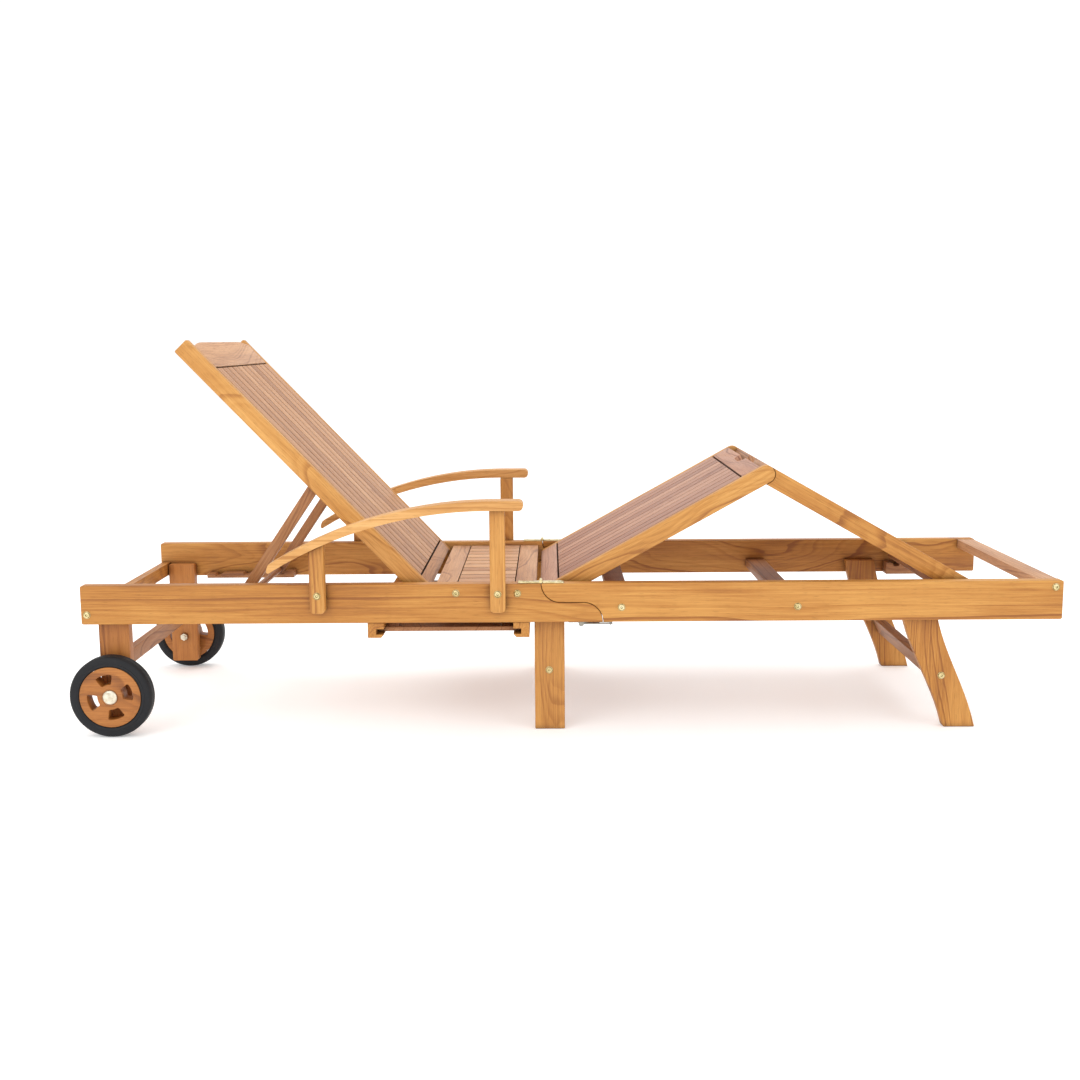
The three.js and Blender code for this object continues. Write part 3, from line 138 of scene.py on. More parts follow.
class Shader:
    """A material with a principled shader, and short calls for its nodes."""

    def __init__(self, name):
        self.material = bpy.data.materials.new(name)
        self.material.use_nodes = True
        self.tree = self.material.node_tree
        self.tree.nodes.clear()
        output = self.tree.nodes.new("ShaderNodeOutputMaterial")
        self.surface = self.tree.nodes.new("ShaderNodeBsdfPrincipled")
        self.tree.links.new(self.surface.outputs["BSDF"], output.inputs["Surface"])

    def node(self, kind, **settings):
        node = self.tree.nodes.new(kind)
        for key, value in settings.items():
            setattr(node, key, value)
        return node

    def feed(self, socket, value):
        if isinstance(value, bpy.types.NodeSocket):
            self.tree.links.new(value, socket)
        else:
            socket.default_value = value

    def math(self, operation, a, b=0.0, c=0.0):
        node = self.node("ShaderNodeMath", operation=operation)
        for socket, value in zip(node.inputs, (a, b, c)):
            self.feed(socket, value)
        return node.outputs[0]

    def vector(self, operation, a, b=(0.0, 0.0, 0.0)):
        node = self.node("ShaderNodeVectorMath", operation=operation)
        self.feed(node.inputs[0], a)
        self.feed(node.inputs[1], b)
        return node.outputs["Value" if operation in ("LENGTH", "DOT_PRODUCT") else "Vector"]

    def combine(self, x, y, z):
        node = self.node("ShaderNodeCombineXYZ")
        for socket, value in zip(node.inputs, (x, y, z)):
            self.feed(socket, value)
        return node.outputs[0]

    def separate(self, vector):
        node = self.node("ShaderNodeSeparateXYZ")
        self.feed(node.inputs[0], vector)
        return node.outputs

    def noise(self, vector, stretch, detail=2.0, roughness=0.5):
        node = self.node("ShaderNodeTexNoise")
        self.feed(node.inputs["Vector"], self.vector("MULTIPLY", vector, stretch))
        node.inputs["Scale"].default_value = 1.0
        node.inputs["Detail"].default_value = detail
        node.inputs["Roughness"].default_value = roughness
        return node.outputs[0]

    def ramp(self, factor, stops):
        node = self.node("ShaderNodeValToRGB")
        elements = node.color_ramp.elements
        while len(elements) < len(stops):
            elements.new(0.5)
        for element, (place, color) in zip(elements, stops):
            element.position = place
            element.color = (*color, 1.0)
        self.feed(node.inputs[0], factor)
        return node.outputs["Color"]

    def blend(self, factor, a, b):
        node = self.node("ShaderNodeMix", data_type="RGBA", blend_type="MIX")
        self.feed(node.inputs[0], factor)
        for socket, value in ((node.inputs[6], a), (node.inputs[7], b)):
            self.feed(socket, (*value, 1.0) if isinstance(value, tuple) else value)
        return node.outputs[2]

    def spread(self, value, low, high, out_low=0.0, out_high=1.0):
        node = self.node("ShaderNodeMapRange", interpolation_type="SMOOTHSTEP")
        for socket, number in zip(node.inputs, (value, low, high, out_low, out_high)):
            self.feed(socket, number)
        return node.outputs[0]

    def local(self, pivot=(0.0, 0.0, 0.0), turn=None):
        """Object coordinates seen from a pivot, in a turned frame."""
        coordinates = self.node("ShaderNodeTexCoord").outputs["Object"]
        place = self.node("ShaderNodeMapping", vector_type="TEXTURE")
        place.inputs["Location"].default_value = pivot
        place.inputs["Rotation"].default_value = (turn or Matrix.Identity(3)).to_euler("XYZ")
        self.feed(place.inputs["Vector"], coordinates)
        return place.outputs[0]

    def cavity(self, distance):
        node = self.node("ShaderNodeAmbientOcclusion", samples=SHADE_SAMPLES)
        node.inputs["Distance"].default_value = distance
        return node.outputs["AO"]

    def edge(self, radius):
        """0 on a face and up to 1 on its rounded edges."""
        rounded = self.node("ShaderNodeBevel", samples=SHADE_SAMPLES)
        rounded.inputs["Radius"].default_value = radius
        normal = self.node("ShaderNodeNewGeometry").outputs["Normal"]
        return self.math("SUBTRACT", 1.0, self.vector("DOT_PRODUCT", rounded.outputs[0], normal))

    def bump(self, height, strength, distance):
        node = self.node("ShaderNodeBump")
        node.inputs["Strength"].default_value = strength
        node.inputs["Distance"].default_value = distance
        self.feed(node.inputs["Height"], height)
        self.feed(self.surface.inputs["Normal"], node.outputs[0])

    def set(self, **values):
        for key, value in values.items():
            self.feed(self.surface.inputs[key.replace("_", " ")], value)


# ---- Materials ---------------------------------------------------------------------------------------------

RAIL_TONES = ((0.28, 0.092, 0.010), (0.46, 0.184, 0.027), (0.62, 0.298, 0.064))
ARM_TONES = ((0.46, 0.196, 0.043), (0.63, 0.315, 0.090), (0.77, 0.440, 0.162))
PANEL_TONES = ((0.36, 0.135, 0.022), (0.53, 0.235, 0.046), (0.68, 0.350, 0.092))
SLAT_TONES = ((0.28, 0.120, 0.056), (0.49, 0.243, 0.115), (0.65, 0.362, 0.184))
THIGH_TONES = ((0.25, 0.100, 0.060), (0.42, 0.200, 0.120), (0.57, 0.310, 0.195))
# Painted shade: a darker copy of the wood for the pieces that sit under and between others, such as the racks,
# stretchers, cross rails, tray and prop arms.
SHADED_PIECE_TONES = ((0.20, 0.070, 0.020), (0.33, 0.135, 0.045), (0.45, 0.210, 0.080))
WHEEL_TONES = ((0.23, 0.072, 0.011), (0.38, 0.130, 0.021), (0.49, 0.188, 0.036))

# Noise frequencies in the wood: along the grain, then across it.
SWAY = (1.6, 6.0, 6.0)
RIPPLE = (7.0, 26.0, 26.0)
PATCHES = (3.2, 15.0, 15.0)
FIBRES = (7.0, 330.0, 330.0)
STREAKS = (3.0, 110.0, 110.0)
PORES = (45.0, 1300.0, 1300.0)
RUBBED = (12.0, 40.0, 40.0)

# Growth rings.
RING_SPACING = 0.0075
PITH_HEIGHT = 0.045                 # of the log's centre above the grain's own axis
SWAY_REACH = 0.24
RIPPLE_REACH = 0.016
LOG_SHIFT = 9.0                     # along the grain, between one piece of the log and the next
SIDE_SHIFT = 0.05
BOARD_INDEX = 40.0                  # number that a cross board draws its own tone with

# How far each layer moves the tone, from 0 at the darkest to 1 at the lightest.
MIDDLE_TONE = 0.62
FIBRE_TONE = 1.05
STREAK_TONE = 0.45
VEIN_TONE = -0.36
RING_TONE = {"plank": -0.68, "slat": -0.35}
PATCH_TONE = {"plank": 1.15, "slat": 0.45}
OWN_TONE = {"plank": 0.16, "slat": 0.50}
TONE_STOPS = (0.08, 0.52, 0.94)

# Shades over the tone.
PORE_SHADE = 0.35
PORE_DARKNESS = 0.45
# Painted shade: the wood is darkened where ambient occlusion finds nearby faces, in the gaps between slats and
# in corners.
PAINTED_SHADE_REACH = 0.016
PAINTED_SHADE = {"plank": 0.70, "slat": 0.92}
PAINTED_SHADE_DARKNESS = 0.22
WORN_EDGE = 0.0022
WORN = 0.42

GRAIN_TURN = {
    "x": Matrix.Identity(3),
    "y": Matrix.Rotation(math.pi / 2, 3, "Z"),
    "z": Matrix.Rotation(-math.pi / 2, 3, "Y"),
}


def piece_of_log(shader, place, slats, board, seed):
    """Gives each slat and cross board its own part of the log.

    Returns the place in the log, its part across and upright, and the piece's own random number.
    """
    x, y, z = shader.separate(place)
    if slats:
        half, pitch = slats
        index = shader.math("FLOOR", shader.math("DIVIDE", shader.math("ADD", y, half), pitch))
    else:
        index = 0.0
    if board:
        above = shader.math("GREATER_THAN", x, board[0])
        below = shader.math("LESS_THAN", x, board[1])
        on_board = shader.math("MULTIPLY", above, below)
        keep = shader.math("SUBTRACT", 1.0, on_board)
        own_index = shader.math("MULTIPLY", on_board, BOARD_INDEX)
        index = shader.math("ADD", shader.math("MULTIPLY", index, keep), own_index)
        swapped = shader.math("ADD", shader.math("MULTIPLY", x, keep), shader.math("MULTIPLY", y, on_board))
        y = shader.math("ADD", shader.math("MULTIPLY", y, keep), shader.math("MULTIPLY", x, on_board))
        x = swapped
    piece = shader.node("ShaderNodeTexWhiteNoise", noise_dimensions="1D")
    shader.feed(piece.inputs["W"], shader.math("ADD", index, seed + 0.37))
    chance = piece.outputs["Value"]
    x = shader.math("ADD", x, shader.math("MULTIPLY", chance, LOG_SHIFT))
    return shader.combine(x, y, z), y, z, chance


def growth_rings(shader, place, y, z, chance):
    """1 on the dark late wood of a strong ring, 0 between rings."""
    sway = shader.noise(place, SWAY, 1.0)
    ripple = shader.noise(place, RIPPLE, 2.0)
    offset = shader.math("MULTIPLY", shader.math("SUBTRACT", sway, 0.5), SWAY_REACH)
    offset = shader.math("MULTIPLY_ADD", shader.math("SUBTRACT", ripple, 0.5), RIPPLE_REACH, offset)
    across = shader.math("ADD", shader.math("ADD", y, offset), shader.math("MULTIPLY", chance, SIDE_SHIFT))
    upright = shader.math("ADD", shader.math("SUBTRACT", z, PITH_HEIGHT), offset)
    radius = shader.vector("LENGTH", shader.combine(0.0, across, upright))
    turns = shader.math("DIVIDE", radius, RING_SPACING)
    share = shader.math("FRACT", turns)
    rise = shader.spread(share, 0.25, 0.85)
    late = shader.math("MULTIPLY", rise, shader.spread(share, 0.88, 1.0, 1.0, 0.0))
    year = shader.node("ShaderNodeTexWhiteNoise", noise_dimensions="1D")
    shader.feed(year.inputs["W"], shader.math("FLOOR", turns))
    return shader.math("MULTIPLY", late, shader.math("POWER", year.outputs["Value"], 2.0))


def wood(name, tones, grain="x", pivot=(0.0, 0.0, 0.0), tilt=0.0, slats=None, board=None, seed=0.0):
    """Oiled hardwood with growth rings, fibres and pores along the grain axis.

    slats = (half width, pitch) gives each slat its own tone and its own piece of the log. board = (low, high)
    is the stretch along the panel where a cross board lies, whose grain runs across.
    """
    shader = Shader(name)
    cut = "slat" if slats else "plank"
    turn = Matrix.Rotation(tilt, 3, "Y") @ GRAIN_TURN[grain]
    place, y, z, chance = piece_of_log(shader, shader.local(pivot, turn), slats, board, seed)
    ring = growth_rings(shader, place, y, z, chance)
    broad = shader.noise(place, PATCHES, 2.0)
    fibre = shader.noise(place, FIBRES, 4.0, 0.62)
    streak = shader.noise(place, STREAKS, 3.0, 0.60)
    vein = shader.spread(streak, 0.56, 0.74)
    pore = shader.spread(shader.noise(place, PORES, 1.0), 0.60, 0.72)

    tone = shader.math("MULTIPLY_ADD", shader.math("SUBTRACT", fibre, 0.5), FIBRE_TONE, MIDDLE_TONE)
    tone = shader.math("MULTIPLY_ADD", shader.math("SUBTRACT", streak, 0.5), STREAK_TONE, tone)
    tone = shader.math("MULTIPLY_ADD", vein, VEIN_TONE, tone)
    tone = shader.math("MULTIPLY_ADD", ring, RING_TONE[cut], tone)
    tone = shader.math("MULTIPLY_ADD", shader.math("SUBTRACT", broad, 0.5), PATCH_TONE[cut], tone)
    tone = shader.math("MULTIPLY_ADD", shader.math("SUBTRACT", chance, 0.5), OWN_TONE[cut], tone)
    dark, _, light = tones
    color = shader.ramp(tone, tuple(zip(TONE_STOPS, tones)))
    pore_shade = shader.math("MULTIPLY", pore, PORE_SHADE)
    color = shader.blend(pore_shade, color, tuple(PORE_DARKNESS * part for part in dark))
    # Painted shade in the gaps and corners, from ambient occlusion, mixed into the base colour.
    painted_shade = shader.spread(shader.cavity(PAINTED_SHADE_REACH), 0.30, 0.92, PAINTED_SHADE[cut], 0.0)
    color = shader.blend(painted_shade, color, tuple(PAINTED_SHADE_DARKNESS * part for part in dark))
    patchy = shader.spread(shader.noise(place, RUBBED, 2.0), 0.35, 0.75)
    worn = shader.math("MULTIPLY", shader.spread(shader.edge(WORN_EDGE), 0.02, 0.30, 0.0, WORN), patchy)
    color = shader.blend(worn, color, tuple(min(1.0, 1.18 * part + 0.03) for part in light))

    rough = shader.math("MULTIPLY_ADD", fibre, 0.22, 0.44)
    rough = shader.math("MULTIPLY_ADD", pore, 0.12, rough)
    height = shader.math("MULTIPLY_ADD", pore, -0.9, shader.math("MULTIPLY", fibre, 0.7))
    height = shader.math("MULTIPLY_ADD", ring, 0.35, height)
    shader.bump(height, 0.30, 0.0006)
    shader.set(Base_Color=color, Roughness=rough, Coat_Weight=0.06, Coat_Roughness=0.35)
    return shader.material


def metal(name, tones):
    """Plated steel, dulled in patches, with fine scratches, and darker in its corners."""
    shader = Shader(name)
    place = shader.local()
    cloud = shader.noise(place, (90.0, 90.0, 90.0), 3.0)
    scratch = shader.noise(place, (900.0, 120.0, 4000.0), 2.0)
    color = shader.ramp(cloud, tuple(zip((0.30, 0.55, 0.80), tones)))
    # Darker in the corners and hollows, where ambient occlusion finds nearby faces.
    corner_darkening = shader.spread(shader.cavity(0.0025), 0.30, 0.95, 0.85, 0.0)
    color = shader.blend(corner_darkening, color, tuple(0.12 * part for part in tones[0]))
    rough = shader.math("MULTIPLY_ADD", cloud, 0.28, 0.16)
    shader.bump(shader.math("ADD", scratch, cloud), 0.12, 0.0002)
    shader.set(Base_Color=color, Metallic=1.0, Roughness=rough)
    return shader.material


def rubber():
    """Black rubber, matte, with a fine skin and a little dust."""
    shader = Shader("tyre_black")
    place = shader.local()
    skin = shader.noise(place, (1600.0, 1600.0, 1600.0), 2.0)
    dust = shader.noise(place, (26.0, 26.0, 26.0), 4.0, 0.65)
    stops = ((0.35, (0.006, 0.0065, 0.008)), (0.60, (0.0105, 0.011, 0.0135)), (0.85, (0.030, 0.030, 0.030)))
    color = shader.ramp(dust, stops)
    # Darker in the corners and hollows, where ambient occlusion finds nearby faces.
    corner_darkening = shader.spread(shader.cavity(0.004), 0.3, 0.95, 0.5, 0.0)
    color = shader.blend(corner_darkening, color, (0.012, 0.012, 0.013))
    rough = shader.math("MULTIPLY_ADD", dust, 0.30, 0.48)
    shader.bump(skin, 0.20, 0.0003)
    shader.set(Base_Color=color, Roughness=rough, Specular_IOR_Level=0.35)
    return shader.material


PAPER_GLOW = 0.26


def floor_paint():
    """Pale seamless paper, which glows a little so that shadows on it stay soft."""
    shader = Shader("studio_paper")
    cloud = shader.noise(shader.local(), (1.5, 1.5, 1.5), 3.0)
    color = shader.ramp(cloud, ((0.3, (0.945, 0.945, 0.945)), (0.7, (0.965, 0.965, 0.965))))
    shader.set(Base_Color=color, Roughness=0.9)
    shader.set(Emission_Color=(1.0, 1.0, 1.0, 1.0), Emission_Strength=PAPER_GLOW)
    return shader.material


BRASS = metal("brass_worn", ((0.50, 0.40, 0.17), (0.78, 0.66, 0.35), (0.90, 0.82, 0.56)))
NICKEL = metal("nickel_worn", ((0.52, 0.46, 0.34), (0.80, 0.74, 0.59), (0.92, 0.88, 0.78)))
ZINC = metal("zinc_dull", ((0.16, 0.15, 0.13), (0.30, 0.28, 0.24), (0.50, 0.47, 0.40)))
RUBBER = rubber()

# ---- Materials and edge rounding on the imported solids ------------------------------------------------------

PANEL_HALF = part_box("headboard")[1][1]
SEAT_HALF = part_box("seat_cross_rail_rear")[1][1]
PANEL_PITCH = 2 * PANEL_HALF / PANEL_SLATS
SEAT_PITCH = 2 * SEAT_HALF / SEAT_SLATS


EASE_SEGMENTS = {ARM_EASE: 3}
PLAIN_SEGMENTS = 2
WELD_REACH = 0.00002
FLAT_ANGLE = math.radians(0.4)      # facets closer than this become one face
EASE_ANGLE = math.radians(28)       # edges sharper than this are eased

SIDE_SEEDS = {"right": 3.0, "left": 14.0}
DISC_SEED = 24
PROP_SEED = 23
DISC_SHIFT = 0.01                   # puts the two discs in different parts of their logs
SIDE_PLANKS = (
    # node, tones, grain, ease, seed
    ("head_rail", RAIL_TONES, "x", RAIL_EASE, 0),
    ("foot_rail", RAIL_TONES, "x", RAIL_EASE, 1),
    ("wheel_leg", WHEEL_TONES, "z", RAIL_EASE, 2),
    ("middle_leg", PANEL_TONES, "z", RAIL_EASE, 3),
    ("foot_leg", RAIL_TONES, "z", RAIL_EASE, 4),
    ("armrest_front_post", PANEL_TONES, "z", ARM_EASE, 5),
    ("armrest_rear_post", PANEL_TONES, "z", ARM_EASE, 6),
    ("armrest", ARM_TONES, "x", ARM_EASE, 7),
    ("back_rack", SHADED_PIECE_TONES, "x", SLAT_EASE, 8),
    ("leg_rack", SHADED_PIECE_TONES, "x", SLAT_EASE, 9),
)
PANEL_RAILS = (
    # node, tones, joint, tilt, seed
    ("back_rail", PANEL_TONES, "backrest_tilt", BACK_TILT, 20),
    ("thigh_rail", PANEL_TONES, "thigh_tilt", THIGH_TILT, 21),
    ("leg_rail", RAIL_TONES, "leg_fold", LEG_TILT, 22),
)
SIDE_FITTINGS = (
    ("fold_hinge_head_leaf", BRASS, METAL_EASE),
    ("fold_hinge_foot_leaf", BRASS, METAL_EASE),
    ("latch_lever", ZINC, METAL_EASE),
    ("wheel_axle", NICKEL, METAL_EASE),
    ("wheel_tyre", RUBBER, SLAT_EASE),
)
CROSS_PIECES = (
    ("head_cross_rail", RAIL_TONES, 60.0),
    ("seat_cross_rail_rear", SLAT_TONES, 61.0),
    ("seat_cross_rail_front", SLAT_TONES, 62.5),
    ("wheel_leg_stretcher", SHADED_PIECE_TONES, 63.0),
    ("tray_runner_rear", RAIL_TONES, 64.0),
    ("tray_runner_front", RAIL_TONES, 65.0),
    ("tray", SHADED_PIECE_TONES, 66.0),
    ("foot_cross_rail_1", SHADED_PIECE_TONES, 67.0),
    ("foot_cross_rail_2", SHADED_PIECE_TONES, 68.0),
    ("foot_end_board", SLAT_TONES, 69.0),
    ("foot_leg_stretcher", SHADED_PIECE_TONES, 70.0),
    ("prop_bar", SHADED_PIECE_TONES, 71.0),
    ("leg_rest_bar", SHADED_PIECE_TONES, 72.0),
)
PANEL_BOARDS = (
    # node, tones, joint, tilt, ease, seed
    ("headboard", SLAT_TONES, "backrest_tilt", BACK_TILT, RAIL_EASE, 73.0),
    ("thigh_knee_board", THIGH_TONES, "thigh_tilt", THIGH_TILT, SLAT_EASE, 74.0),
    ("leg_knee_board", SLAT_TONES, "leg_fold", LEG_TILT, SLAT_EASE, 75.0),
)
PANEL_DECKS = (
    # node, tones, joint, tilt, cross board, seed
    ("back_slats", SLAT_TONES, "backrest_tilt", BACK_TILT, BACK_BOARD, 76.0),
    ("thigh_deck", THIGH_TONES, "thigh_tilt", THIGH_TILT, THIGH_BOARD, 177.0),
    ("leg_deck", SLAT_TONES, "leg_fold", LEG_TILT, LEG_BOARD, 278.0),
)
SEAT_SEED = 379.0


def finish_node(node, material, ease):
    """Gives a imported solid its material, and rounds its edges without touching its mesh."""
    thing = frame["nodes"][node]
    thing.data.materials.clear()
    thing.data.materials.append(material)
    weld = thing.modifiers.new("weld", "WELD")
    weld.merge_threshold = WELD_REACH
    flat = thing.modifiers.new("flat", "DECIMATE")
    flat.decimate_type = "DISSOLVE"
    flat.angle_limit = FLAT_ANGLE
    bevel = thing.modifiers.new("ease", "BEVEL")
    bevel.width = ease
    bevel.segments = EASE_SEGMENTS.get(ease, PLAIN_SEGMENTS)
    bevel.limit_method = "ANGLE"
    bevel.angle_limit = EASE_ANGLE
    bevel.harden_normals = True
    for polygon in thing.data.polygons:
        polygon.use_smooth = True


def panel_wood(node, tones, joint, tilt, **more):
    """Wood whose grain follows a tilted panel."""
    return wood(f"{node}_wood", tones, pivot=tuple(JOINT[joint]), tilt=tilt, **more)


def dress_side(side, sign):
    """Wood, metal or rubber for the solids that each side has its own of."""
    first = SIDE_SEEDS[side]
    for node, tones, grain, ease, seed in SIDE_PLANKS:
        material = wood(f"{node}_{side}_wood", tones, grain, seed=first + seed)
        finish_node(f"{node}_{side}", material, ease)
    for node, tones, joint, tilt, seed in PANEL_RAILS:
        material = panel_wood(f"{node}_{side}", tones, joint, tilt, seed=first + seed)
        finish_node(f"{node}_{side}", material, RAIL_EASE)
    prop = wood(f"prop_arm_{side}_wood", SHADED_PIECE_TONES, tilt=PROP_TILT, seed=first + PROP_SEED)
    finish_node(f"prop_arm_{side}", prop, RAIL_EASE)
    pivot = (0.0, sign * DISC_SHIFT, 0.0)
    disc = wood(f"wheel_disc_{side}_wood", WHEEL_TONES, pivot=pivot, seed=first + DISC_SEED)
    finish_node(f"wheel_disc_{side}", disc, SLAT_EASE)
    for node, material, ease in SIDE_FITTINGS:
        finish_node(f"{node}_{side}", material, ease)


def dress_middle():
    """Wood for the solids that run across, and for the slatted panels."""
    for node, tones, seed in CROSS_PIECES:
        finish_node(node, wood(f"{node}_wood", tones, "y", seed=seed), SLAT_EASE)
    for node, tones, joint, tilt, ease, seed in PANEL_BOARDS:
        finish_node(node, panel_wood(node, tones, joint, tilt, grain="y", seed=seed), ease)
    slats = (PANEL_HALF, PANEL_PITCH)
    for node, tones, joint, tilt, board, seed in PANEL_DECKS:
        deck = panel_wood(node, tones, joint, tilt, slats=slats, board=board, seed=seed)
        finish_node(node, deck, SLAT_EASE)
    seat = wood("seat_slats_wood", SLAT_TONES, slats=(SEAT_HALF, SEAT_PITCH), seed=SEAT_SEED)
    finish_node("seat_slats", seat, SLAT_EASE)


# ---- Small hardware ----------------------------------------------------------------------------------------


def mesh_piece(name, vertices, faces, material, body):
    """A new piece that rides on a body and takes the given material."""
    mesh = bpy.data.meshes.new(name)
    mesh.from_pydata([tuple(v) for v in vertices], [], faces)
    mesh.materials.append(material)
    thing = bpy.data.objects.new(name, mesh)
    bpy.context.scene.collection.objects.link(thing)
    mesh.shade_smooth()
    mesh.set_sharp_from_angle(angle=SHARP_ANGLE)
    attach(thing, body)
    return thing


def hex_radius(radius, angle):
    """Distance to the side of a hexagon whose flats are 2 x radius apart."""
    sector = math.pi / 3
    return radius / math.cos((angle + sector / 2) % sector - sector / 2)


def head_rings(radius, height, socket):
    """Rings of a flanged, domed head with a hexagonal socket, as (radius, rise, is hexagonal)."""
    return (
        (radius, 0.0, False),
        (radius, height * 0.24, False),
        (radius * 0.93, height * 0.34, False),
        (radius * 0.83, height * 0.22, False),
        (radius * 0.78, height * 0.64, False),
        (radius * 0.66, height * 0.92, False),
        (socket * 1.24, height, False),
        (socket, height * 0.92, True),
        (socket, height * 0.20, True),
    )


def add_head(vertices, faces, center, outward, radius, height, socket):
    """Adds one bolt or screw head that stands on a face at center and rises along outward."""
    outward = Vector(outward).normalized()
    side = outward.orthogonal().normalized()
    other = outward.cross(side)
    start = len(vertices)
    rings = head_rings(radius, height, socket)
    for ring_radius, rise, hexagonal in rings:
        for step in range(HEAD_STEPS):
            angle = 2 * math.pi * step / HEAD_STEPS
            reach = hex_radius(ring_radius, angle) if hexagonal else ring_radius
            spot = side * (reach * math.cos(angle)) + other * (reach * math.sin(angle))
            vertices.append(Vector(center) + spot + outward * rise)
    for ring in range(len(rings) - 1):
        for step in range(HEAD_STEPS):
            following = (step + 1) % HEAD_STEPS
            low = start + ring * HEAD_STEPS
            faces.append((low + step, low + following, low + HEAD_STEPS + following, low + HEAD_STEPS + step))
    faces.append(tuple(start + step for step in reversed(range(HEAD_STEPS))))
    top = start + (len(rings) - 1) * HEAD_STEPS
    faces.append(tuple(top + step for step in range(HEAD_STEPS)))


def heads(name, places, body, head=BOLT):
    """One piece of several heads. places holds (center, outward) pairs."""
    vertices = []
    faces = []
    for center, outward in places:
        add_head(vertices, faces, center, outward, *head)
    mesh_piece(name, vertices, faces, BRASS, body)


def add_bolts():
    """Bolt heads on the rails, the armrest posts and the legs."""
    for side, sign in SIDES.items():
        outward = (0, sign, 0)
        for body, spots in RAIL_BOLTS.items():
            places = [((HEAD_X + x, sign * RAIL_OUTER, RAIL_TOP + z), outward) for x, z in spots]
            x, z, leg = LEG_BOLTS[body]
            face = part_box(f"{leg}_{side}")[1 if sign > 0 else 0][1]
            places.append(((HEAD_X + x, face, RAIL_TOP + z), outward))
            heads(f"{body}_bolts_{side}", places, body)
        places = []
        for x, z, post in POST_BOLTS:
            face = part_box(f"{post}_{side}")[1 if sign > 0 else 0][1]
            places.append(((HEAD_X + x, face, RAIL_TOP + z), outward))
        heads(f"post_bolts_{side}", places, "head_frame")


def panel_point(joint, tilt, x, y, z):
    """A point given in a tilted panel's own frame."""
    return JOINT[joint] + Matrix.Rotation(tilt, 3, "Y") @ Vector((x, y, z))


def add_deck_screws():
    """Screw heads under the battens, one for each slat."""
    panels = (
        ("backrest", "backrest_tilt", BACK_TILT, BACK_BATTENS, BACK_BATTEN_UNDER, 1),
        ("thigh_panel", "thigh_tilt", THIGH_TILT, THIGH_BATTENS, KNEE_BATTEN_UNDER, 0),
        ("leg_panel", "leg_fold", LEG_TILT, LEG_BATTENS, KNEE_BATTEN_UNDER, 0),
    )
    for body, joint, tilt, lines, under, skip in panels:
        outward = Matrix.Rotation(tilt, 3, "Y") @ Vector((0, 0, -1))
        places = []
        for x in lines:
            for index in range(skip, PANEL_SLATS - skip):
                y = -PANEL_HALF + (index + 0.5) * 2 * PANEL_HALF / PANEL_SLATS
                places.append((panel_point(joint, tilt, x, y, under), outward))
        heads(f"{body}_screws", places, body, DECK_SCREW)


def add_hinge_screws():
    """Two screws in each leaf of the fold hinges."""
    for side in SIDES:
        for leaf, body in (("head", "head_frame"), ("foot", "foot_frame")):
            low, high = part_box(f"fold_hinge_{leaf}_leaf_{side}")
            direction = -1 if leaf == "head" else 1
            pin = JOINT["frame_fold"].x
            middle = (low[1] + high[1]) / 2
            top = RAIL_TOP + HINGE_LEAF_THICK
            places = [((pin + direction * reach, middle, top), (0, 0, 1)) for reach in HINGE_SCREWS]
            heads(f"fold_hinge_{leaf}_screws_{side}", places, body, HINGE_SCREW)


def ring_piece(name, profile, center, material, body, steps):
    """A closed profile of (radius, y) turned about an axis along Y."""
    vertices = []
    for radius, y in profile:
        for step in range(steps):
            angle = 2 * math.pi * step / steps
            vertices.append(Vector(center) + Vector((radius * math.cos(angle), y, radius * math.sin(angle))))
    faces = []
    count = len(profile)
    for ring in range(count):
        low = ring * steps
        high = (ring + 1) % count * steps
        for step in range(steps):
            following = (step + 1) % steps
            faces.append((low + step, high + step, high + following, low + following))
    return mesh_piece(name, vertices, faces, material, body)


def add_spacers():
    """Washers on the pivots, between the tilting panels and the side rails."""
    panel_outer = -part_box("back_rail_right")[0][1]
    middle = (panel_outer + RAIL_INNER) / 2
    half = (RAIL_INNER - panel_outer) / 2 - SPACER_GAP
    shoulder = half * SPACER_SHOULDER
    profile = (
        (SPACER_BORE, -half), (SPACER_FACE, -half), (SPACER_RADIUS, -shoulder),
        (SPACER_RADIUS, shoulder), (SPACER_FACE, half), (SPACER_BORE, half),
    )
    for joint, body, name in (("backrest_tilt", "head_frame", "back"), ("thigh_tilt", "foot_frame", "thigh")):
        for side, sign in SIDES.items():
            center = JOINT[joint] + Vector((0, sign * middle, 0))
            ring_piece(f"{name}_pivot_spacer_{side}", profile, center, BRASS, body,
                       SPACER_STEPS)


def add_tyres():
    """Solid tyres with rounded shoulders, a shallow tread and a ridge on each wall."""
    for side, sign in SIDES.items():
        low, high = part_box(f"wheel_tyre_{side}")
        outer = (high[0] - low[0]) / 2
        half = (high[1] - low[1]) / 2
        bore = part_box(f"wheel_disc_{side}")[1][0] - (low[0] + high[0]) / 2 + 0.0006
        wall = (
            (bore, half - 0.0040), (bore + 0.0016, half - 0.0016), (bore + 0.0040, half - 0.0010),
            (bore + 0.0052, half - 0.0001), (bore + 0.0066, half - 0.0001), (bore + 0.0076, half - 0.0010),
            (outer - 0.0070, half - 0.0008), (outer - 0.0040, half - 0.0016), (outer - 0.0016, half - 0.0036),
            (outer - 0.0003, half - 0.0064), (outer, 0.0092), (outer - 0.0011, 0.0086),
            (outer - 0.0011, 0.0074), (outer, 0.0068),
        )
        profile = wall + tuple((radius, -y) for radius, y in reversed(wall))
        center = tuple((a + b) / 2 for a, b in zip(low, high))
        tyre = ring_piece(f"tyre_{side}", profile, center, RUBBER, f"wheel_{side}", TYRE_STEPS)
        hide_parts(f"wheel_tyre_{side}")


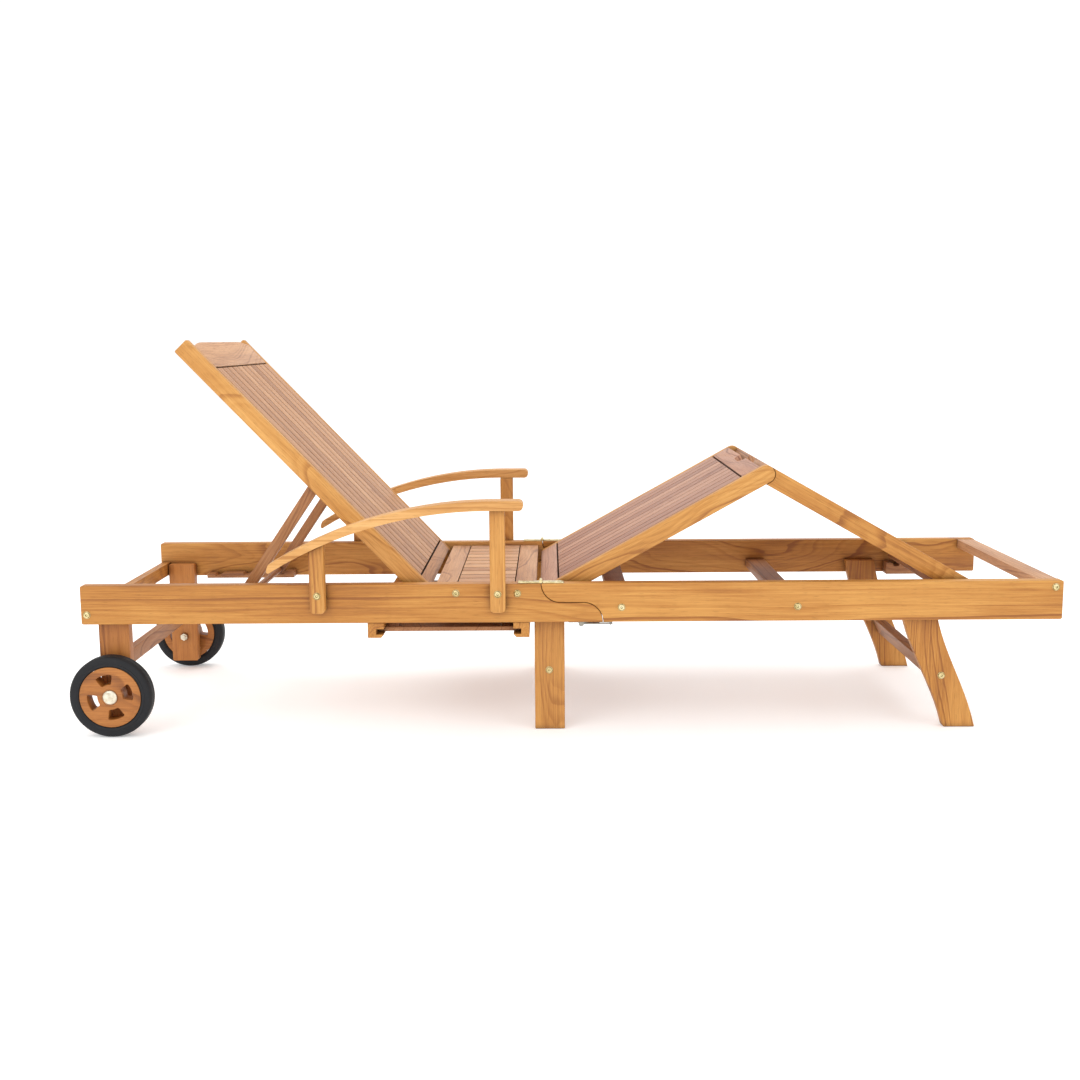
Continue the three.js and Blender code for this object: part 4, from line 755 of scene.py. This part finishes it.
def outline_piece(name, outline, width, place, material, body, ease):
    """An outline in the X-Z plane, given as (x, z), extruded across by width about place."""
    count = len(outline)
    vertices = [Vector(place) + Vector((x, y, z)) for y in (-width / 2, width / 2) for x, z in outline]
    faces = [tuple(range(count)), tuple(reversed(range(count, 2 * count)))]
    for step in range(count):
        following = (step + 1) % count
        faces.append((following, step, step + count, following + count))
    thing = mesh_piece(name, vertices, faces, material, body)
    bevel = thing.modifiers.new("ease", "BEVEL")
    bevel.width = ease
    bevel.segments = 2
    bevel.harden_normals = True


def add_latch_plates():
    """The base that carries each latch lever, and the catch that its bail hooks on."""
    pivot = JOINT["latch_open_right"]
    top = RAIL_BOTTOM - pivot.z - LATCH_PLATE_GAP
    under = top - LATCH_PLATE_THICK
    base = ((-0.026, top), (-0.026, under), (0.012, under), (0.012, top))
    ear = (
        (-0.006, top - 0.0012), (-0.0045, -0.0030), (-0.002, -0.0042), (0.002, -0.0042), (0.0045, -0.0030),
        (0.006, top - 0.0012),
    )
    catch = (
        (0.052, top), (0.052, top - 0.0013), (0.0570, top - 0.0013), (0.0580, top - 0.0026),
        (0.0584, -0.0026), (0.0596, -0.0036), (0.0606, -0.0028), (0.0600, 0.0002),
        (0.0600, top - 0.0016), (0.080, top - 0.0013), (0.080, top),
    )
    for side, sign in SIDES.items():
        y = sign * RAIL_MIDDLE
        spot = (pivot.x, y, pivot.z)
        outline_piece(f"latch_base_{side}", base, LATCH_BASE_WIDTH, spot, ZINC,
                      "head_frame", LATCH_PLATE_EASE)
        for number, shift in enumerate((-LATCH_EAR_SHIFT, LATCH_EAR_SHIFT)):
            name = f"latch_ear_{side}_{number + 1}"
            place = (pivot.x, y + shift, pivot.z)
            outline_piece(name, ear, LATCH_PLATE_THICK, place, ZINC,
                          "head_frame", LATCH_EAR_EASE)
        outline_piece(f"latch_catch_{side}", catch, LATCH_CATCH_WIDTH, spot, ZINC,
                      "foot_frame", LATCH_PLATE_EASE)
        down = (0, 0, -1)
        low = pivot.z + under
        screws = [((pivot.x + x, y, low), down) for x in LATCH_BASE_SCREWS]
        heads(f"latch_base_screws_{side}", screws, "head_frame", LATCH_SCREW)
        screws = [((pivot.x + LATCH_CATCH_SCREW, y, low), down)]
        heads(f"latch_catch_screw_{side}", screws, "foot_frame", LATCH_SCREW)


def add_leg_stretcher():
    """The stretcher between the middle legs, behind their bolts."""
    x, z, leg = LEG_BOLTS["head_frame"]
    half_width = -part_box(f"{leg}_right")[1][1] - STRETCHER_GAP
    half_depth = STRETCHER_DEPTH / 2
    half_height = STRETCHER_HEIGHT / 2
    outline = (
        (-half_depth, -half_height), (half_depth, -half_height),
        (half_depth, half_height), (-half_depth, half_height),
    )
    material = wood("middle_leg_stretcher_wood", SHADED_PIECE_TONES, "y", seed=80.0)
    place = (HEAD_X + x, 0.0, RAIL_TOP + z)
    outline_piece("middle_leg_stretcher", outline, 2 * half_width, place, material,
                  "head_frame", STRETCHER_EASE)


def add_tray_pegs():
    """Stop pegs near the ends of the tray, which meet the rails when it is drawn out."""
    low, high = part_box("tray")
    vertices = []
    faces = []
    for x in (low[0] + PEG_INSETS[0], high[0] - PEG_INSETS[1]):
        for y in (low[1] + PEG_END_INSET, high[1] - PEG_END_INSET):
            add_head(vertices, faces, (x, y, high[2]), (0, 0, 1), *TRAY_PEG)
    tones = tuple(tuple(PEG_DARKNESS * part for part in tone) for tone in SHADED_PIECE_TONES)
    material = wood("tray_peg_wood", tones, "z")
    mesh_piece("tray_stop_pegs", vertices, faces, material, "tray")


# ---- Stage, light and camera -------------------------------------------------------------------------------


FLOOR_REACH = 12.0
FLOOR_GAP = 0.0005                  # under the feet
SKY_STRENGTH = 1.06

# Soft lights: name, place, target, size, watts, color.
LIGHTS = (
    ("key", (-2.2, -3.2, 3.0), (0.0, 0.0, 0.3), (3.0, 2.0), 38.0, (1.0, 0.985, 0.96)),
    ("fill", (2.8, -2.6, 2.2), (0.2, 0.0, 0.3), (2.5, 2.0), 12.0, (1.0, 0.99, 0.98)),
    ("top", (0.0, 1.6, 3.6), (0.0, 0.0, 0.3), (4.0, 2.0), 34.0, (1.0, 0.99, 0.99)),
)


def area_light(name, place, target, size, power, color):
    """A rectangular light at place that shines towards target."""
    data = bpy.data.lights.new(name, "AREA")
    data.shape = "RECTANGLE"
    data.size, data.size_y = size
    data.energy = power
    data.color = color
    lamp = bpy.data.objects.new(name, data)
    lamp.location = place
    lamp.rotation_euler = (Vector(target) - Vector(place)).to_track_quat("-Z", "Y").to_euler()
    bpy.context.scene.collection.objects.link(lamp)


def add_stage():
    """A pale floor, an even white sky and three soft lights."""
    reach = FLOOR_REACH
    corners = ((-reach, -reach, 0.0), (reach, -reach, 0.0), (reach, reach, 0.0), (-reach, reach, 0.0))
    mesh = bpy.data.meshes.new("floor")
    mesh.from_pydata(corners, [], [(0, 1, 2, 3)])
    mesh.materials.append(floor_paint())
    floor = bpy.data.objects.new("floor", mesh)
    floor.location.z = -FLOOR_GAP
    bpy.context.scene.collection.objects.link(floor)
    world = bpy.data.worlds.new("studio")
    world.use_nodes = True
    background = world.node_tree.nodes["Background"]
    background.inputs["Color"].default_value = (1.0, 1.0, 1.0, 1.0)
    background.inputs["Strength"].default_value = SKY_STRENGTH
    bpy.context.scene.world = world
    for light in LIGHTS:
        area_light(*light)



CAMERA_PLACE = (-0.02675, -2.9565, 0.803)
CAMERA_YAW = math.radians(-0.433)     # to the right of +Y
CAMERA_PITCH = math.radians(8.57)     # downwards
CAMERA_ROLL = math.radians(-0.416)
CAMERA_LENS = 44.317
SENSOR = 36.0


def add_camera():
    """The camera at the photograph's viewing angle."""
    forward = Vector((
        math.sin(CAMERA_YAW) * math.cos(CAMERA_PITCH),
        math.cos(CAMERA_YAW) * math.cos(CAMERA_PITCH),
        -math.sin(CAMERA_PITCH),
    ))
    level_right = Vector((math.cos(CAMERA_YAW), -math.sin(CAMERA_YAW), 0.0))
    level_up = level_right.cross(forward)
    right = level_right * math.cos(CAMERA_ROLL) + level_up * math.sin(CAMERA_ROLL)
    up = level_up * math.cos(CAMERA_ROLL) - level_right * math.sin(CAMERA_ROLL)
    data = bpy.data.cameras.new("camera")
    data.sensor_width = SENSOR
    data.lens = CAMERA_LENS
    camera = bpy.data.objects.new("camera", data)
    turn = Matrix((right, up, -forward)).transposed()
    camera.matrix_world = Matrix.Translation(CAMERA_PLACE) @ turn.to_4x4()
    bpy.context.scene.collection.objects.link(camera)
    bpy.context.scene.camera = camera
    bpy.context.scene.view_settings.view_transform = "Standard"


# ---- Build -------------------------------------------------------------------------------------------------

for side, sign in SIDES.items():
    dress_side(side, sign)
dress_middle()
add_tyres()
add_bolts()
add_deck_screws()
add_hinge_screws()
add_spacers()
add_latch_plates()
add_leg_stretcher()
add_tray_pegs()
add_stage()
add_camera()
